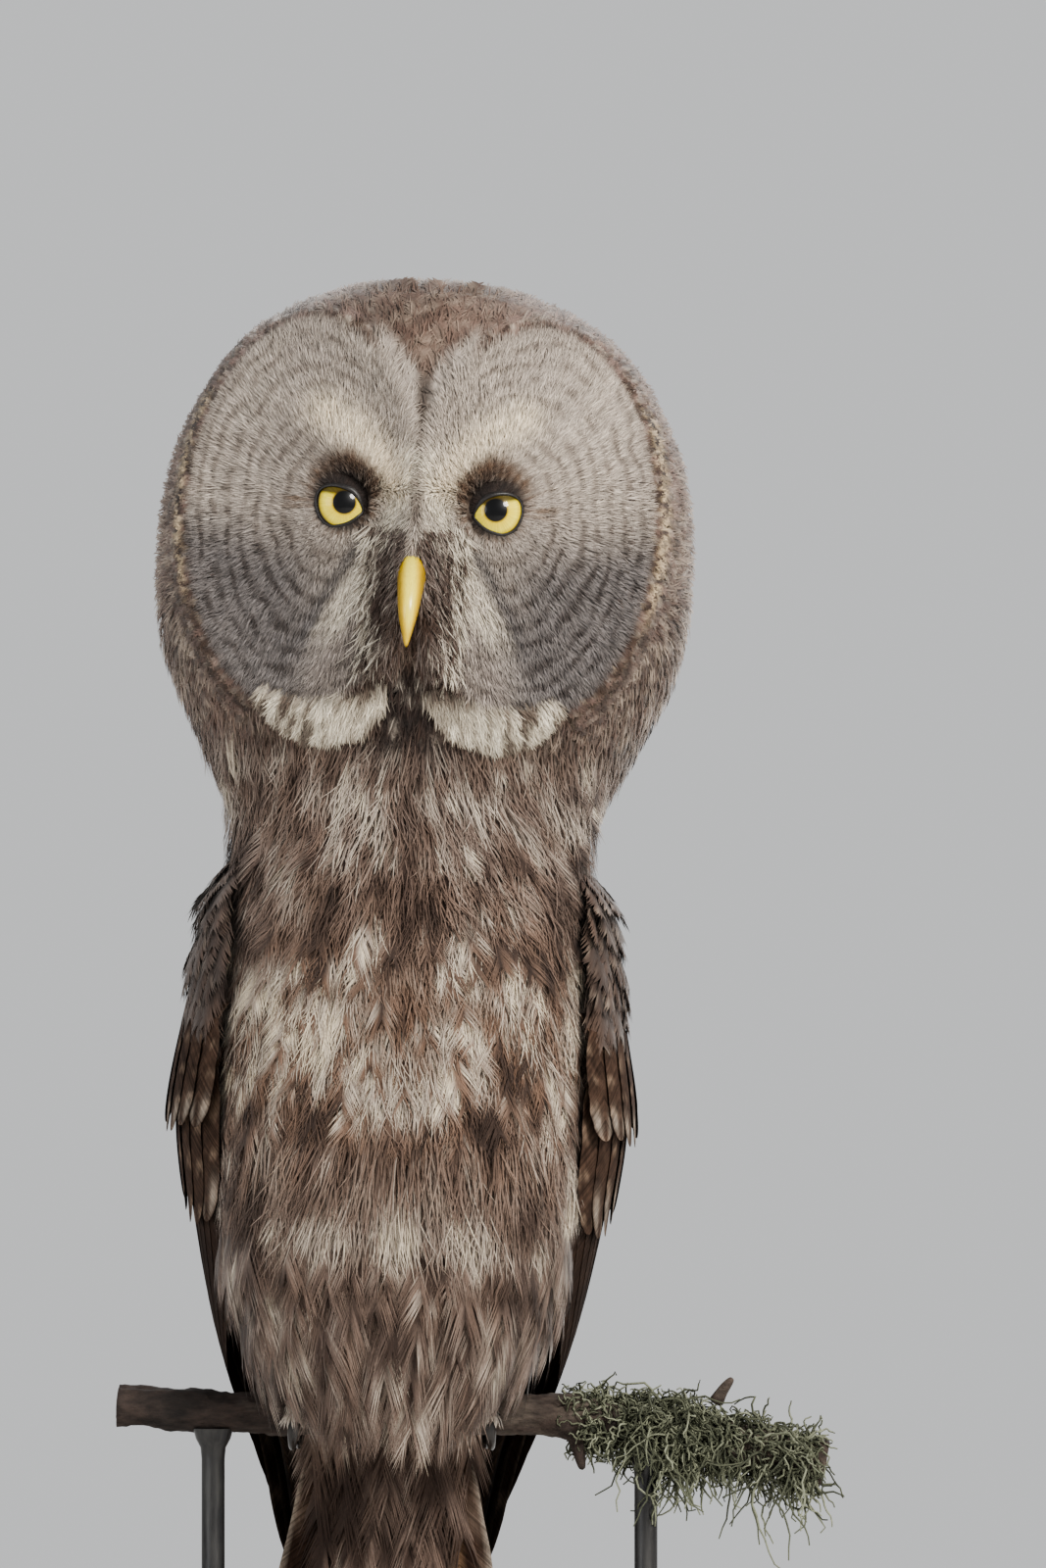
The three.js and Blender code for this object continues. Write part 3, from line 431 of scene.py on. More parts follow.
def body_tone(points):
    """How pale the body is, from 0 to 1, before each feather's own marks."""
    x, y, z = points.T
    angle = np.abs(np.arctan2(x, -y))
    lie = np.stack([x + 0.25 * np.sign(x) * smooth(np.abs(x), 0, 15) * (z - 150), y, z], axis=-1)
    blotch = noise(lie * [1, 1, 0.62], 6.0, 51) - 0.5
    patch = noise(lie * [1, 1, 0.7], 12.5, 54) - 0.5
    wisp = noise(lie * [1, 1, 0.12], 1.7, 52) - 0.5
    bright = np.interp(z, *zip(*BODY_BRIGHTNESS))
    bright = bright - 0.16 * smooth(angle, 1.3, 2.1) + 0.22 * hill(np.abs(x), 53, 11) * hill(z, 136, 27)
    return np.clip(bright + 0.64 * blotch + 0.46 * patch + 0.40 * wisp, 0, 1)


def body_colour(points, streak=0.0):
    """Markings of neck, breast, belly and back; `streak` darkens along a feather's middle."""
    tone = np.clip(body_tone(points) - streak, 0, 1)
    dark = tinted(DARK, UMBER, 0.3 + 0.6 * noise(points, 9, 53))
    warm = 0.35 * noise(points, 7, 55) + 0.45 * hill(points[:, 2], 118, 42)
    middle = tinted(tinted(BROWN, GREY, 0.35), tinted(TAN, RUST, 0.7), warm)
    pale = tinted(tinted(PALE, GREY, 0.25), CREAM, smooth(tone, 0.62, 0.9))
    return tinted(tinted(dark, middle, smooth(tone, 0.08, 0.42)), pale, smooth(tone, 0.40, 0.76))


def plumage_colour(points, streak=0.0):
    """Markings anywhere on head and body, which skin and coat share."""
    share = smooth(points[:, 2], 214, 224)
    return tinted(body_colour(points, streak), head_colour(points), share)


# Meshes from arrays


def new_piece(name, points, faces, material, slot):
    """Object of the given faces, in metres, that rides on the root."""
    mesh = bpy.data.meshes.new(name)
    faces = np.asarray(faces, np.int32)
    count, corners = faces.shape
    mesh.vertices.add(len(points))
    mesh.vertices.foreach_set("co", np.asarray(points, np.float32).ravel())
    mesh.loops.add(count * corners)
    mesh.loops.foreach_set("vertex_index", faces.ravel())
    mesh.polygons.add(count)
    mesh.polygons.foreach_set("loop_start", np.arange(0, count * corners, corners, dtype=np.int32))
    mesh.polygons.foreach_set("use_smooth", np.full(count, True))
    mesh.update()
    piece = bpy.data.objects.new(name, mesh)
    bpy.context.scene.collection.objects.link(piece)
    declare(piece, material, slot)
    return piece


def declare(piece, material, slot, *replaced):
    """Finish and body of a piece, and the CAD nodes that it stands for, which it hides. `slot` is not used.
    """
    piece.data.materials.append(material)
    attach(piece, "root")
    if replaced:
        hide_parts(*replaced)


def word_of(side):
    return "left" if side > 0 else "right"


def add_point_data(mesh, name, values):
    kind = "FLOAT_COLOR" if np.ndim(values) == 2 else "FLOAT"
    data = mesh.attributes.new(name, kind, "POINT")
    if kind == "FLOAT_COLOR":
        values = np.hstack([values, np.ones((len(values), 1))])
        data.data.foreach_set("color", np.asarray(values, np.float32).ravel())
    else:
        data.data.foreach_set("value", np.asarray(values, np.float32))


def add_bake_map(mesh, places):
    """UV map that gives every corner its point's place on the unwrapped skin."""
    layer = mesh.uv_layers.new(name="OFBake")
    corners = np.empty(len(mesh.loops), np.int32)
    mesh.loops.foreach_get("vertex_index", corners)
    layer.data.foreach_set("uv", np.asarray(places, np.float32)[corners].ravel())


def add_rings(mesh, points):
    """Phase and strength of the face's rings at every point, which the material turns into bars."""
    ring, strength = face_rings(points)
    add_point_data(mesh, "ring", ring)
    add_point_data(mesh, "ring_strength", strength)


class Coat:
    """Collects tufts of the straight owl and makes one piece of them."""

    def __init__(self):
        self.parts = []
        self.count = 0

    def add(self, points, faces, normals, tint, barb, chance, places):
        self.parts.append((points, faces + self.count, normals, tint, barb, chance, places))
        self.count += len(points)

    def make(self, name, material, slot, ringed=False):
        points, faces, normals, tint, barb, chance, places = (
            np.concatenate(column) for column in zip(*self.parts)
        )
        piece = new_piece(name, posed(points), faces, material, slot)
        add_point_data(piece.data, "tint", tint)
        add_point_data(piece.data, "barb", barb)
        add_point_data(piece.data, "chance", chance)
        if ringed:
            add_rings(piece.data, points)
        add_bake_map(piece.data, places)
        piece.data.normals_split_custom_set_from_vertices(posed_directions(points, normals))
        return piece


PATCH = 0.003
SKIN_LOW, SKIN_HIGH = -30, 390


def unwrapped(points):
    """Place of a root on the skin unrolled round its upright axis."""
    turn = np.arctan2(points[:, 0], -points[:, 1]) / (2 * np.pi)
    height = (points[:, 2] - SKIN_LOW) / (SKIN_HIGH - SKIN_LOW)
    return np.stack([0.5 + 0.98 * turn, 0.01 + 0.98 * height], axis=-1)


def blades(coat, root, normal, along, length, width, lifts, colour, rng, *, segments=3, sag=0.007,
           curl=0.12, roll=0.3, root_shade=0.55, streaky=0.0, vary=0.24):
    """Narrow tapered tufts. `lifts` are the heights of root and tip over the surface."""
    count = len(root)
    length = np.broadcast_to(length, count)
    width = np.broadcast_to(width, count)
    side = unit(np.cross(along, normal))
    spin = rng.normal(0, roll, count)[:, None]
    face_side = side * np.cos(spin) + normal * np.sin(spin)
    bend = rng.normal(0, curl, count)
    low, high = (np.broadcast_to(lift, count) for lift in lifts)
    stations, normals, shares = [], [], []
    for k in range(segments + 1):
        t = k / segments
        lift = mix(low, high, t ** 0.7) - sag * (length * t) ** 2
        centre = root + along * (length * t)[:, None] + normal * lift[:, None]
        centre = centre + side * (bend * length * t * t)[:, None]
        if k == segments:
            stations.append(centre[:, None])
            normals.append(normal[:, None])
            shares.append(np.full((count, 1), t))
        else:
            half = (width * (0.5 - 0.18 * abs(t - 0.4)))[:, None]
            stations.append(np.stack([centre - face_side * half, centre + face_side * half], axis=1))
            normals.append(np.stack([normal - 0.4 * face_side, normal + 0.4 * face_side], axis=1))
            shares.append(np.full((count, 2), t))
    points = np.concatenate(stations, axis=1)
    per = points.shape[1]
    faces = []
    for k in range(segments - 1):
        a = 2 * k
        faces += [(a, a + 1, a + 3), (a, a + 3, a + 2)]
    faces.append((2 * segments - 2, 2 * segments - 1, 2 * segments))
    faces = (np.arange(count)[:, None, None] * per + np.array(faces)[None]).reshape(-1, 3)
    flat = points.reshape(-1, 3)
    share = np.concatenate(shares, axis=1).ravel()
    tint = colour(flat)
    if streaky:
        middle = root + along * (0.7 * length)[:, None]
        tint = mix(tint, np.repeat(colour(middle), per, axis=0), streaky)
    # Painted shade: each tuft darkens towards its root, where it lies under the others.
    shade = mix(root_shade, 1.0, smooth(share, 0.0, 0.65))
    chance = np.repeat(rng.random(count), per)
    tint = tint * (shade * (1 - 0.5 * vary + vary * chance))[:, None]
    corner = np.array([(c % 2 - 0.5, c // 2 / segments - 0.5) for c in range(per)])
    spots = (unwrapped(root)[:, None] + PATCH * corner[None]).reshape(-1, 2)
    coat.add(flat, faces, unit(np.concatenate(normals, axis=1).reshape(-1, 3)), tint, share, chance, spots)


def barb_fan(barbs, sweep):
    """Barbs of one feather: share along the shaft, reach outwards and onwards."""
    start = np.linspace(0.08, 0.95, barbs)
    out = np.sqrt(np.clip(1 - ((start - 0.40) / 0.62) ** 2, 0.03, 1))
    onward = sweep * (1 - 0.55 * start)
    return start, out, onward


def barbed_feathers(coat, root, normal, along, length, width, lifts, colour, rng, *, barbs=14,
                    camber=0.1, sag=0.004, loose=0.06, root_shade=0.5, shaft=0.2, sweep=0.38):
    """Soft feathers, each a fan of barbs on both sides of its shaft."""
    count = len(root)
    side = unit(np.cross(along, normal))
    spin = rng.normal(0, 0.10, count)[:, None]
    side = (side * np.cos(spin) + normal * np.sin(spin))[:, None, None]
    length, width, low, high = (
        np.broadcast_to(value, count)[:, None, None] for value in (length, width, *lifts)
    )
    start, out, onward = (np.tile(values, 2) for values in barb_fan(barbs, sweep))
    sign = np.repeat([-1.0, 1.0], barbs)
    total = 2 * barbs
    stray = rng.normal(0, loose, (count, total))
    reach = out[None] * (1 + rng.normal(0, 0.10, (count, total)))
    thick = 0.85 / barbs
    columns, shares = [], []
    for share, taper in [(0.0, 1.0), (0.55, 0.8), (1.0, 0.0)]:
        across = sign * reach * share * (0.5 + 0.5 * share) ** 0.3
        forward = start + (onward + stray * 0.5) * share ** 1.3
        rows = [0.0] if taper == 0 else [-taper * thick, taper * thick]
        for row in rows:
            columns.append(np.stack([across, forward + row], axis=-1))
            shares.append(share)
    across, t = np.moveaxis(np.stack(columns, axis=2), -1, 0)
    along, normal = along[:, None, None], normal[:, None, None]
    lift = mix(low, high, np.clip(t, 0, 1.2) ** 0.7)
    lift = lift - sag * (length * t) ** 2 - camber * width * across**2
    lift = lift + 1.2 * stray[..., None] * np.array(shares) * width * 0.25
    points = (
        root[:, None, None]
        + along * (length * t)[..., None]
        + side * (across * width * 0.5)[..., None]
        + normal * lift[..., None]
    )
    per = len(shares)
    pattern = np.array([(0, 1, 3), (0, 3, 2), (2, 3, 4)])
    flipped = pattern[:, ::-1]
    index = np.arange(count * total)[:, None, None] * per
    chosen = np.where(np.tile(sign, count)[:, None, None] > 0, flipped[None], pattern[None])
    faces = (index + chosen).reshape(-1, 3)
    flat = points.reshape(-1, 3)
    normals = normal + side * (0.55 * across)[..., None] + along * 0.12
    chance = np.repeat(rng.random(count), total * per)
    single = np.repeat(rng.random(count * total), per)
    local = np.stack([across.ravel(), t.ravel()], axis=-1)
    tint = colour(flat, local, chance)
    # Painted shade: each feather darkens towards its root, where it lies under the others.
    shade = mix(root_shade, 1.0, smooth(t.ravel(), 0.15, 0.75))
    quill = 1 - shaft * hill(local[:, 0], 0, 0.10)
    tint = tint * (shade * quill * (0.84 + 0.16 * chance + 0.18 * single))[:, None]
    corner = np.stack([across.reshape(count, -1) * 0.5, t.reshape(count, -1) - 0.5], axis=-1)
    spots = unwrapped(root)[:, None] + PATCH * corner
    coat.add(flat, faces, unit(normals.reshape(-1, 3)), tint, t.ravel(), chance, spots.reshape(-1, 2))


# Materials


def put(tree, value, socket):
    """Links an output to a socket, or sets the socket to a plain value."""
    if isinstance(value, bpy.types.NodeSocket):
        tree.links.new(value, socket)
    else:
        socket.default_value = value


def material(name, inputs):
    """New material, its node tree, and its shader with the given inputs."""
    made = bpy.data.materials.new(name)
    made.use_nodes = True
    tree = made.node_tree
    shader = tree.nodes["Principled BSDF"]
    for key, value in inputs.items():
        shader.inputs[key].default_value = value
    return made, tree, shader


def node(tree, kind, **values):
    made = tree.nodes.new(kind)
    for key, value in values.items():
        if key in made.inputs:
            made.inputs[key].default_value = value
        else:
            setattr(made, key, value)
    return made


def attribute(tree, name, output="Fac"):
    """Value that the mesh carries."""
    return node(tree, "ShaderNodeAttribute", attribute_name=name).outputs[output]


def maths(tree, operation, *values, kind="ShaderNodeMath", output="Value"):
    made = node(tree, kind, operation=operation)
    for value, socket in zip(values, made.inputs):
        put(tree, value, socket)
    return made.outputs[output]


def vector_maths(tree, operation, *values, output="Vector"):
    return maths(tree, operation, *values, kind="ShaderNodeVectorMath", output=output)


def ease(tree, value, low, high):
    """Smooth step from 0 at `low` to 1 at `high`."""
    made = node(tree, "ShaderNodeMapRange", interpolation_type="SMOOTHSTEP")
    put(tree, low, made.inputs["From Min"])
    put(tree, high, made.inputs["From Max"])
    put(tree, value, made.inputs["Value"])
    return made.outputs["Result"]


def ramp(tree, factor, stops):
    """Colour that runs through the stops, each a place and a linear colour."""
    made = tree.nodes.new("ShaderNodeValToRGB")
    elements = made.color_ramp.elements
    while len(elements) < len(stops):
        elements.new(0.5)
    for element, (place, colour) in zip(elements, stops):
        element.position = place
        element.color = (*colour, 1)
    put(tree, factor, made.inputs["Fac"])
    return made.outputs["Color"]


def noise_on(tree, place, scale, detail, roughness=0.5):
    made = node(tree, "ShaderNodeTexNoise", Scale=scale, Detail=detail, Roughness=roughness)
    put(tree, place, made.inputs["Vector"])
    return made.outputs["Fac"]


def noise_node(tree, scale, detail=3.0, roughness=0.55, stretch=(1, 1, 1)):
    """Noise over the object's own coordinates in metres."""
    place = tree.nodes.new("ShaderNodeTexCoord")
    mapping = node(tree, "ShaderNodeMapping", Scale=stretch)
    put(tree, place.outputs["Object"], mapping.inputs["Vector"])
    return noise_on(tree, mapping.outputs["Vector"], scale, detail, roughness)


def multiply(tree, a, b, factor=1.0):
    made = node(tree, "ShaderNodeMix", data_type="RGBA", blend_type="MULTIPLY")
    for value, number in ((factor, 0), (a, 6), (b, 7)):
        put(tree, value, made.inputs[number])
    return made.outputs[2]


def bump(tree, shader, height, strength, distance):
    made = node(tree, "ShaderNodeBump", Strength=strength, Distance=distance)
    put(tree, height, made.inputs["Height"])
    put(tree, made.outputs["Normal"], shader.inputs["Normal"])


def layered_material(name, layers, inputs, bumped=None):
    """Material whose colour is the product of its layers.

    Each layer is a noise or a value that the mesh carries, and its stops. `bumped` is the strength and
    distance of the last layer's bump.
    """
    made, tree, shader = material(name, inputs)
    colour = None
    for source, stops in layers:
        source = attribute(tree, source) if isinstance(source, str) else noise_node(tree, *source)
        layer = ramp(tree, source, stops)
        colour = layer if colour is None else multiply(tree, colour, layer)
    put(tree, colour, shader.inputs["Base Color"])
    if bumped:
        bump(tree, shader, source, *bumped)
    return made


BAR_COLOUR = (0.17, 0.13, 0.11, 1)
BAR_SHIFT = 0.24


def ring_bars(tree, colour):
    """Darkens a colour in bars, by the phase and strength that the mesh carries."""
    phase = maths(tree, "MULTIPLY_ADD", attribute(tree, "chance"), BAR_SHIFT, attribute(tree, "ring"))
    wave = maths(tree, "COSINE", maths(tree, "MULTIPLY", phase, 2 * math.pi))
    share = maths(tree, "MULTIPLY", ease(tree, wave, -0.2, 0.85), attribute(tree, "ring_strength"))
    return multiply(tree, colour, BAR_COLOUR, share)


def barb_lines(tree, colour):
    """Colour with lines along the barbs of a broad feather, and the lines' own height."""
    place = tree.nodes.new("ShaderNodeCombineXYZ")
    put(tree, attribute(tree, "barb"), place.inputs["X"])
    put(tree, maths(tree, "MULTIPLY", attribute(tree, "chance"), 60.0), place.inputs["Y"])
    lines = noise_on(tree, place.outputs["Vector"], 0.75, 3.0, 0.75)
    shade = ramp(tree, lines, [(0.34, (0.42, 0.41, 0.40)), (0.64, (1.30, 1.29, 1.28))])
    return multiply(tree, colour, shade), lines


def plumage_material(name, roughness=0.8, sheen=0.25, grain=2200, ringed=False, vaned=False):
    """Feather finish: the marked tint with fine mottling across the barbs."""
    made, tree, shader = material(name, {
        "Roughness": roughness, "Sheen Weight": sheen, "Sheen Roughness": 0.5,
        "Specular IOR Level": 0.1 if vaned else 0.3,
    })
    height = noise_node(tree, grain, 2.0, 0.6, (1, 1, 0.35))
    coarse = noise_node(tree, 120, 2.0)
    speck = ramp(tree, height, [(0.25, (0.72, 0.70, 0.69)), (0.75, (1.18, 1.17, 1.15))])
    cloud = ramp(tree, coarse, [(0.3, (0.90, 0.89, 0.88)), (0.7, (1.06, 1.06, 1.06))])
    colour = multiply(tree, multiply(tree, attribute(tree, "tint", "Color"), speck), cloud)
    if ringed:
        colour = ring_bars(tree, colour)
    if vaned:
        colour, height = barb_lines(tree, colour)
    put(tree, colour, shader.inputs["Base Color"])
    bump(tree, shader, height, 0.25, 0.0004)
    return made


PUPIL = (0.001, 0.001, 0.0015)
# Share of the iris's outer radius and colour, from the pupil outwards
IRIS_STOPS = [
    (0.0, PUPIL), (0.318, PUPIL), (0.335, (0.36, 0.24, 0.01)), (0.39, (0.76, 0.60, 0.05)),
    (0.60, (0.84, 0.72, 0.10)), (0.70, (0.60, 0.46, 0.03)), (0.745, (0.02, 0.015, 0.01)),
]
IRIS_SCALE = 12.0


def iris_material(name, centre, side):
    """Black pupil, yellow iris with fine spokes and a dark outer ring, under a wet surface, with a painted
    lid shadow over the iris's upper part.
    """
    made, tree, shader = material(name, {
        "Roughness": 0.35, "Specular IOR Level": 0.15, "Coat Weight": 0.8, "Coat IOR": 1.376,
        "Coat Roughness": 0.015,
    })
    place = tree.nodes.new("ShaderNodeTexCoord")
    centred = node(tree, "ShaderNodeMapping", Location=[-value for value in centre])
    put(tree, place.outputs["Object"], centred.inputs["Vector"])
    flat = vector_maths(tree, "MULTIPLY", centred.outputs["Vector"], (1000, 0, 1000))
    radius = vector_maths(tree, "LENGTH", flat, output="Value")
    spokes = noise_on(tree, vector_maths(tree, "NORMALIZE", flat), 14.0, 4.0)
    rings = ramp(tree, maths(tree, "DIVIDE", radius, IRIS_SCALE), IRIS_STOPS)
    streak = ramp(tree, spokes, [(0.3, (0.80, 0.78, 0.7)), (0.7, (1.1, 1.1, 1.1))])
    colour = multiply(tree, multiply(tree, rings, streak), painted_lid_shadow(tree, flat, side))
    put(tree, colour, shader.inputs["Base Color"])
    return made


def painted_lid_shadow(tree, place, side):
    """Painted shadow of the upper lid and brow: darkens the iris under the upper lid, along a line that falls
    to the eye's inner corner.
    """
    height = vector_maths(tree, "DOT_PRODUCT", place, (-0.16 * side, 0, 1), output="Value")
    return ramp(tree, ease(tree, height, 1.5, 3.1), [(0.0, (1, 1, 1)), (1.0, (0.10, 0.09, 0.10))])


def lid_material():
    return layered_material("black_eyelid", [
        ((1500, 3.0), [(0.3, (0.006, 0.005, 0.005)), (0.7, (0.022, 0.018, 0.016))]),
    ], {"Roughness": 0.42}, (0.4, 0.0003))


def bill_material():
    """Yellow horn, brighter along the ridge as a painted highlight and deeper at the sides as painted shade,
    with fine lengthwise growth lines.
    """
    return layered_material("yellow_bill", [
        # The ridge layer is a painted highlight on the ridge and painted shade at the sides.
        ("ridge", [
            (0.0, linear(0.50, 0.37, 0.07)), (0.45, linear(0.82, 0.68, 0.12)),
            (0.85, linear(0.93, 0.86, 0.36)),
        ]),
        ((900, 3.0, 0.6, (3, 1, 0.3)), [(0.3, (0.84, 0.82, 0.78)), (0.7, (1.08, 1.08, 1.08))]),
    ], {"Roughness": 0.32, "Coat Weight": 0.25, "Coat Roughness": 0.2}, (0.2, 0.0003))


def claw_material():
    return layered_material("black_claw", [
        ((700, 3.0, 0.6, (1, 1, 0.4)), [(0.3, (0.010, 0.009, 0.008)), (0.75, (0.045, 0.038, 0.034))]),
    ], {"Roughness": 0.3}, (0.25, 0.0003))


def bark_material():
    """Dark scaly bark with grey weathered ridges and a little green."""
    return layered_material("dark_bark", [
        ((60, 4.0, 0.6, (0.5, 1, 1)), [
            (0.25, linear(0.13, 0.11, 0.10)), (0.5, linear(0.24, 0.20, 0.18)),
            (0.68, linear(0.36, 0.33, 0.30)), (0.85, linear(0.40, 0.41, 0.35)),
        ]),
        ((420, 5.0, 0.65, (0.4, 1, 1)), [(0.3, (0.45, 0.43, 0.42)), (0.65, (1.25, 1.22, 1.18))]),
    ], {"Roughness": 0.9}, (0.8, 0.0012))


def lichen_material():
    """Grey-green threads, each with a shade of its own."""
    return layered_material("grey_green_lichen", [
        ("chance", [
            (0.0, linear(0.24, 0.25, 0.20)), (0.5, linear(0.39, 0.40, 0.33)),
            (1.0, linear(0.56, 0.57, 0.49)),
        ]),
        ((900, 2.0), [(0.3, (0.75, 0.76, 0.74)), (0.7, (1.12, 1.12, 1.1))]),
    ], {"Roughness": 0.95})


def wood_material():
    """Dark stained hardwood with lengthwise grain and a satin finish."""
    return layered_material("stained_base_wood", [
        ((34, 6.0, 0.62, (0.12, 1.6, 1.6)), [
            (0.3, linear(0.17, 0.10, 0.07)), (0.55, linear(0.29, 0.18, 0.12)),
            (0.75, linear(0.38, 0.25, 0.17)),
        ]),
        ((520, 2.0, 0.5, (0.05, 1, 1)), [(0.35, (0.55, 0.5, 0.5)), (0.5, (1.0, 1.0, 1.0))]),
    ], {"Roughness": 0.38, "Coat Weight": 0.3, "Coat Roughness": 0.25}, (0.15, 0.0004))


def rod_material():
    """Blackened steel with drawn lines, duller where it is paler."""
    made, tree, shader = material("blackened_steel", {"Metallic": 0.85})
    grain = noise_node(tree, 260, 4.0, 0.6, (1, 1, 0.15))
    colour = ramp(tree, grain, [(0.3, (0.035, 0.035, 0.037)), (0.7, (0.085, 0.083, 0.08))])
    roughness = ramp(tree, grain, [(0.3, (0.30, 0.30, 0.30)), (0.7, (0.48, 0.48, 0.48))])
    put(tree, colour, shader.inputs["Base Color"])
    put(tree, roughness, shader.inputs["Roughness"])
    return made


def floor_material():
    return layered_material("pale_floor", [
        ((3, 2.0), [(0.3, (0.66, 0.65, 0.63)), (0.7, (0.69, 0.68, 0.66))]),
    ], {"Roughness": 0.9})


# The skin


def deselect_all():
    for each in bpy.context.selected_objects:
        each.select_set(False)


def activate(piece):
    deselect_all()
    piece.select_set(True)
    bpy.context.view_layer.objects.active = piece


CROWN, BELLY_END = 386.0, 26.0
SKIN_RINGS, SKIN_AROUND = 170, 180


def coat_depth(points):
    """How far the skin lies under the feathers' tips."""
    x, y, z = points.T
    face = smooth(-y, 20, 40) * smooth(z, 232, 250)
    depth = mix(7.5, 5.0, face)
    at_eye = np.hypot(np.abs(x) - EYE.x, z - EYE.z)
    return mix(3.2, depth, smooth(at_eye, 9, 17) + (y > 0))


def skin_grid():
    """Points of the owl's outer surface on a grid of rings."""
    fall = np.linspace(0, 1, SKIN_RINGS) ** 1.25
    z = CROWN - 0.15 - (CROWN - BELLY_END - 0.15) * fall
    turn = np.linspace(-np.pi, np.pi, SKIN_AROUND + 1)[:-1]
    angle = turn - 0.35 * np.sin(turn)
    return owl_surface(*np.meshgrid(z, angle, indexing="ij")).reshape(-1, 3)


def grid_quads(rings, around):
    """Faces with four corners between closed rings of points."""
    r, c = np.meshgrid(np.arange(rings - 1), np.arange(around), indexing="ij")
    a = r * around + c
    b = r * around + (c + 1) % around
    return np.stack([a, b, b + around, a + around], axis=-1).reshape(-1, 4)


def grid_faces(rings, around):
    quads = grid_quads(rings, around)
    return np.concatenate([quads[:, [0, 3, 2]], quads[:, [0, 2, 1]]])


def vertex_normals(points, faces):
    a, b, c = (points[faces[:, i]] for i in range(3))
    flat = np.cross(b - a, c - a)
    total = np.zeros_like(points)
    for i in range(3):
        np.add.at(total, faces[:, i], flat)
    return unit(total)


SURFACE = skin_grid()
SURFACE_FACES = grid_faces(SKIN_RINGS, SKIN_AROUND)
SURFACE_NORMALS = vertex_normals(SURFACE, SURFACE_FACES)
if (SURFACE_NORMALS * (SURFACE - [0, 0, 200])).sum() < 0:
    SURFACE_FACES = SURFACE_FACES[:, ::-1]
    SURFACE_NORMALS = -SURFACE_NORMALS


def ring_shell(rings):
    """Closed faces over equal rings of points, with a point added in the middle of each end."""
    around = len(rings[0])
    points = np.vstack([*rings, rings[0].mean(0), rings[-1].mean(0)])
    count = len(rings) * around
    ring = np.arange(around)
    step = (ring + 1) % around
    first = np.stack([ring, step, np.full(around, count)], axis=-1)
    last = np.stack([count - around + step, count - around + ring, np.full(around, count + 1)], axis=-1)
    faces = np.concatenate([grid_faces(len(rings), around), first, last])
    corners = points[faces]
    volume = (np.cross(corners[:, 0], corners[:, 1]) * corners[:, 2]).sum()
    return points, faces if volume > 0 else faces[:, ::-1]


def toe_x(side, toe, share):
    """Sideways place of a toe at a share of its length."""
    return side * (LEG_X + toe["x"] + toe["spread"] * share)


def toe_shell(side, toe, turn):
    rings = []
    for share in np.linspace(0, 1, 12):
        angle = toe["way"] * TOE_REACH * share * 1.02
        outward = np.array([0, -math.sin(angle), math.cos(angle)])
        middle = TOE_PATH * outward + [toe_x(side, toe, share), PERCH_Y, -PERCH_RADIUS]
        radius = np.interp(share, [0, 0.5, 0.9, 1], [4.0, 4.0, 3.2, 2.0]) * (1 + 0.08 * math.cos(16 * share))
        ring = np.cos(turn)[:, None] * [1.0, 0, 0] + np.sin(turn)[:, None] * outward
        rings.append(leaned_back(middle + ring * radius))
    return ring_shell(rings)


def wing_shell(side):
    surface = wing_surface(side)
    share = np.linspace(0.02, 0.98, 22)
    rings = []
    for z in np.linspace(186, 8, 40):
        outer = surface(np.full(22, z), share, -4.2 - 3 * (2 * share - 1) ** 6)
        inner = surface(np.full(22, z), share, -15.0)
        rings.append(np.concatenate([outer, inner[::-1]]))
    return ring_shell(rings)


def flesh_parts():
    """Legs, toes, the folded wings' flesh and the root of the tail, as closed shells of the straight owl."""
    turn = np.linspace(0, 2 * np.pi, 25)[:-1]
    circle = np.stack([np.cos(turn), np.sin(turn), 0 * turn], axis=-1)
    shells = []
    for side in (-1, 1):
        shells.append(ring_shell([circle * radius + [side * LEG_X, PERCH_Y, z] for z, radius in LEG_ROWS]))
        shells += [toe_shell(side, toe, turn) for toe in TOES]
        shells.append(wing_shell(side))
    tail = [circle * [half, depth, 0] + [0, tail_line(z) - 2.5, z] for z, half, depth in TAIL_ROOT_ROWS]
    return shells + [ring_shell(tail)]


def skin_piece(finish):
    """Skin under the coat of head, neck, body, wings, legs and feet, fused into one closed surface."""
    inside = SURFACE - SURFACE_NORMALS * coat_depth(SURFACE)[:, None]
    points, faces = ring_shell(list(inside.reshape(SKIN_RINGS, SKIN_AROUND, 3)))
    piece = new_piece("skin", points, faces, finish, "plumage")
    for number, (points, faces) in enumerate(flesh_parts()):
        part = new_piece(f"flesh_{number}", points, faces, finish, "plumage")
        activate(piece)
        fuse = piece.modifiers.new("fuse", "BOOLEAN")
        fuse.operation = "UNION"
        fuse.solver = "MANIFOLD"
        fuse.object = part
        bpy.ops.object.modifier_apply(modifier=fuse.name)
        bpy.data.objects.remove(part)
    mesh = piece.data
    points = np.empty(len(mesh.vertices) * 3)
    mesh.vertices.foreach_get("co", points)
    points = points.reshape(-1, 3)
    add_point_data(mesh, "tint", skin_colour(points))
    add_rings(mesh, points)
    add_bake_map(mesh, unwrapped(points))
    mesh.vertices.foreach_set("co", posed(points).ravel().astype(np.float32))
    mesh.update()
    activate(piece)
    bpy.ops.object.shade_smooth()
    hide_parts("head", "neck", "torso", "leg_left", "leg_right", "foot_left", "foot_right")
    return piece


def skin_colour(points):
    """The coat's markings, a little darker as painted shade under the feathers, and horn grey on the toes."""
    toes = smooth(-points[:, 2], -9, -3) * (np.abs(points[:, 1] - PERCH_Y) < 24)
    colour = plumage_colour(points) * mix(0.62, 0.8, smooth(points[:, 2], 225, 240))[:, None]
    return tinted(colour, linear(0.45, 0.42, 0.38), toes)


# Where the tufts grow


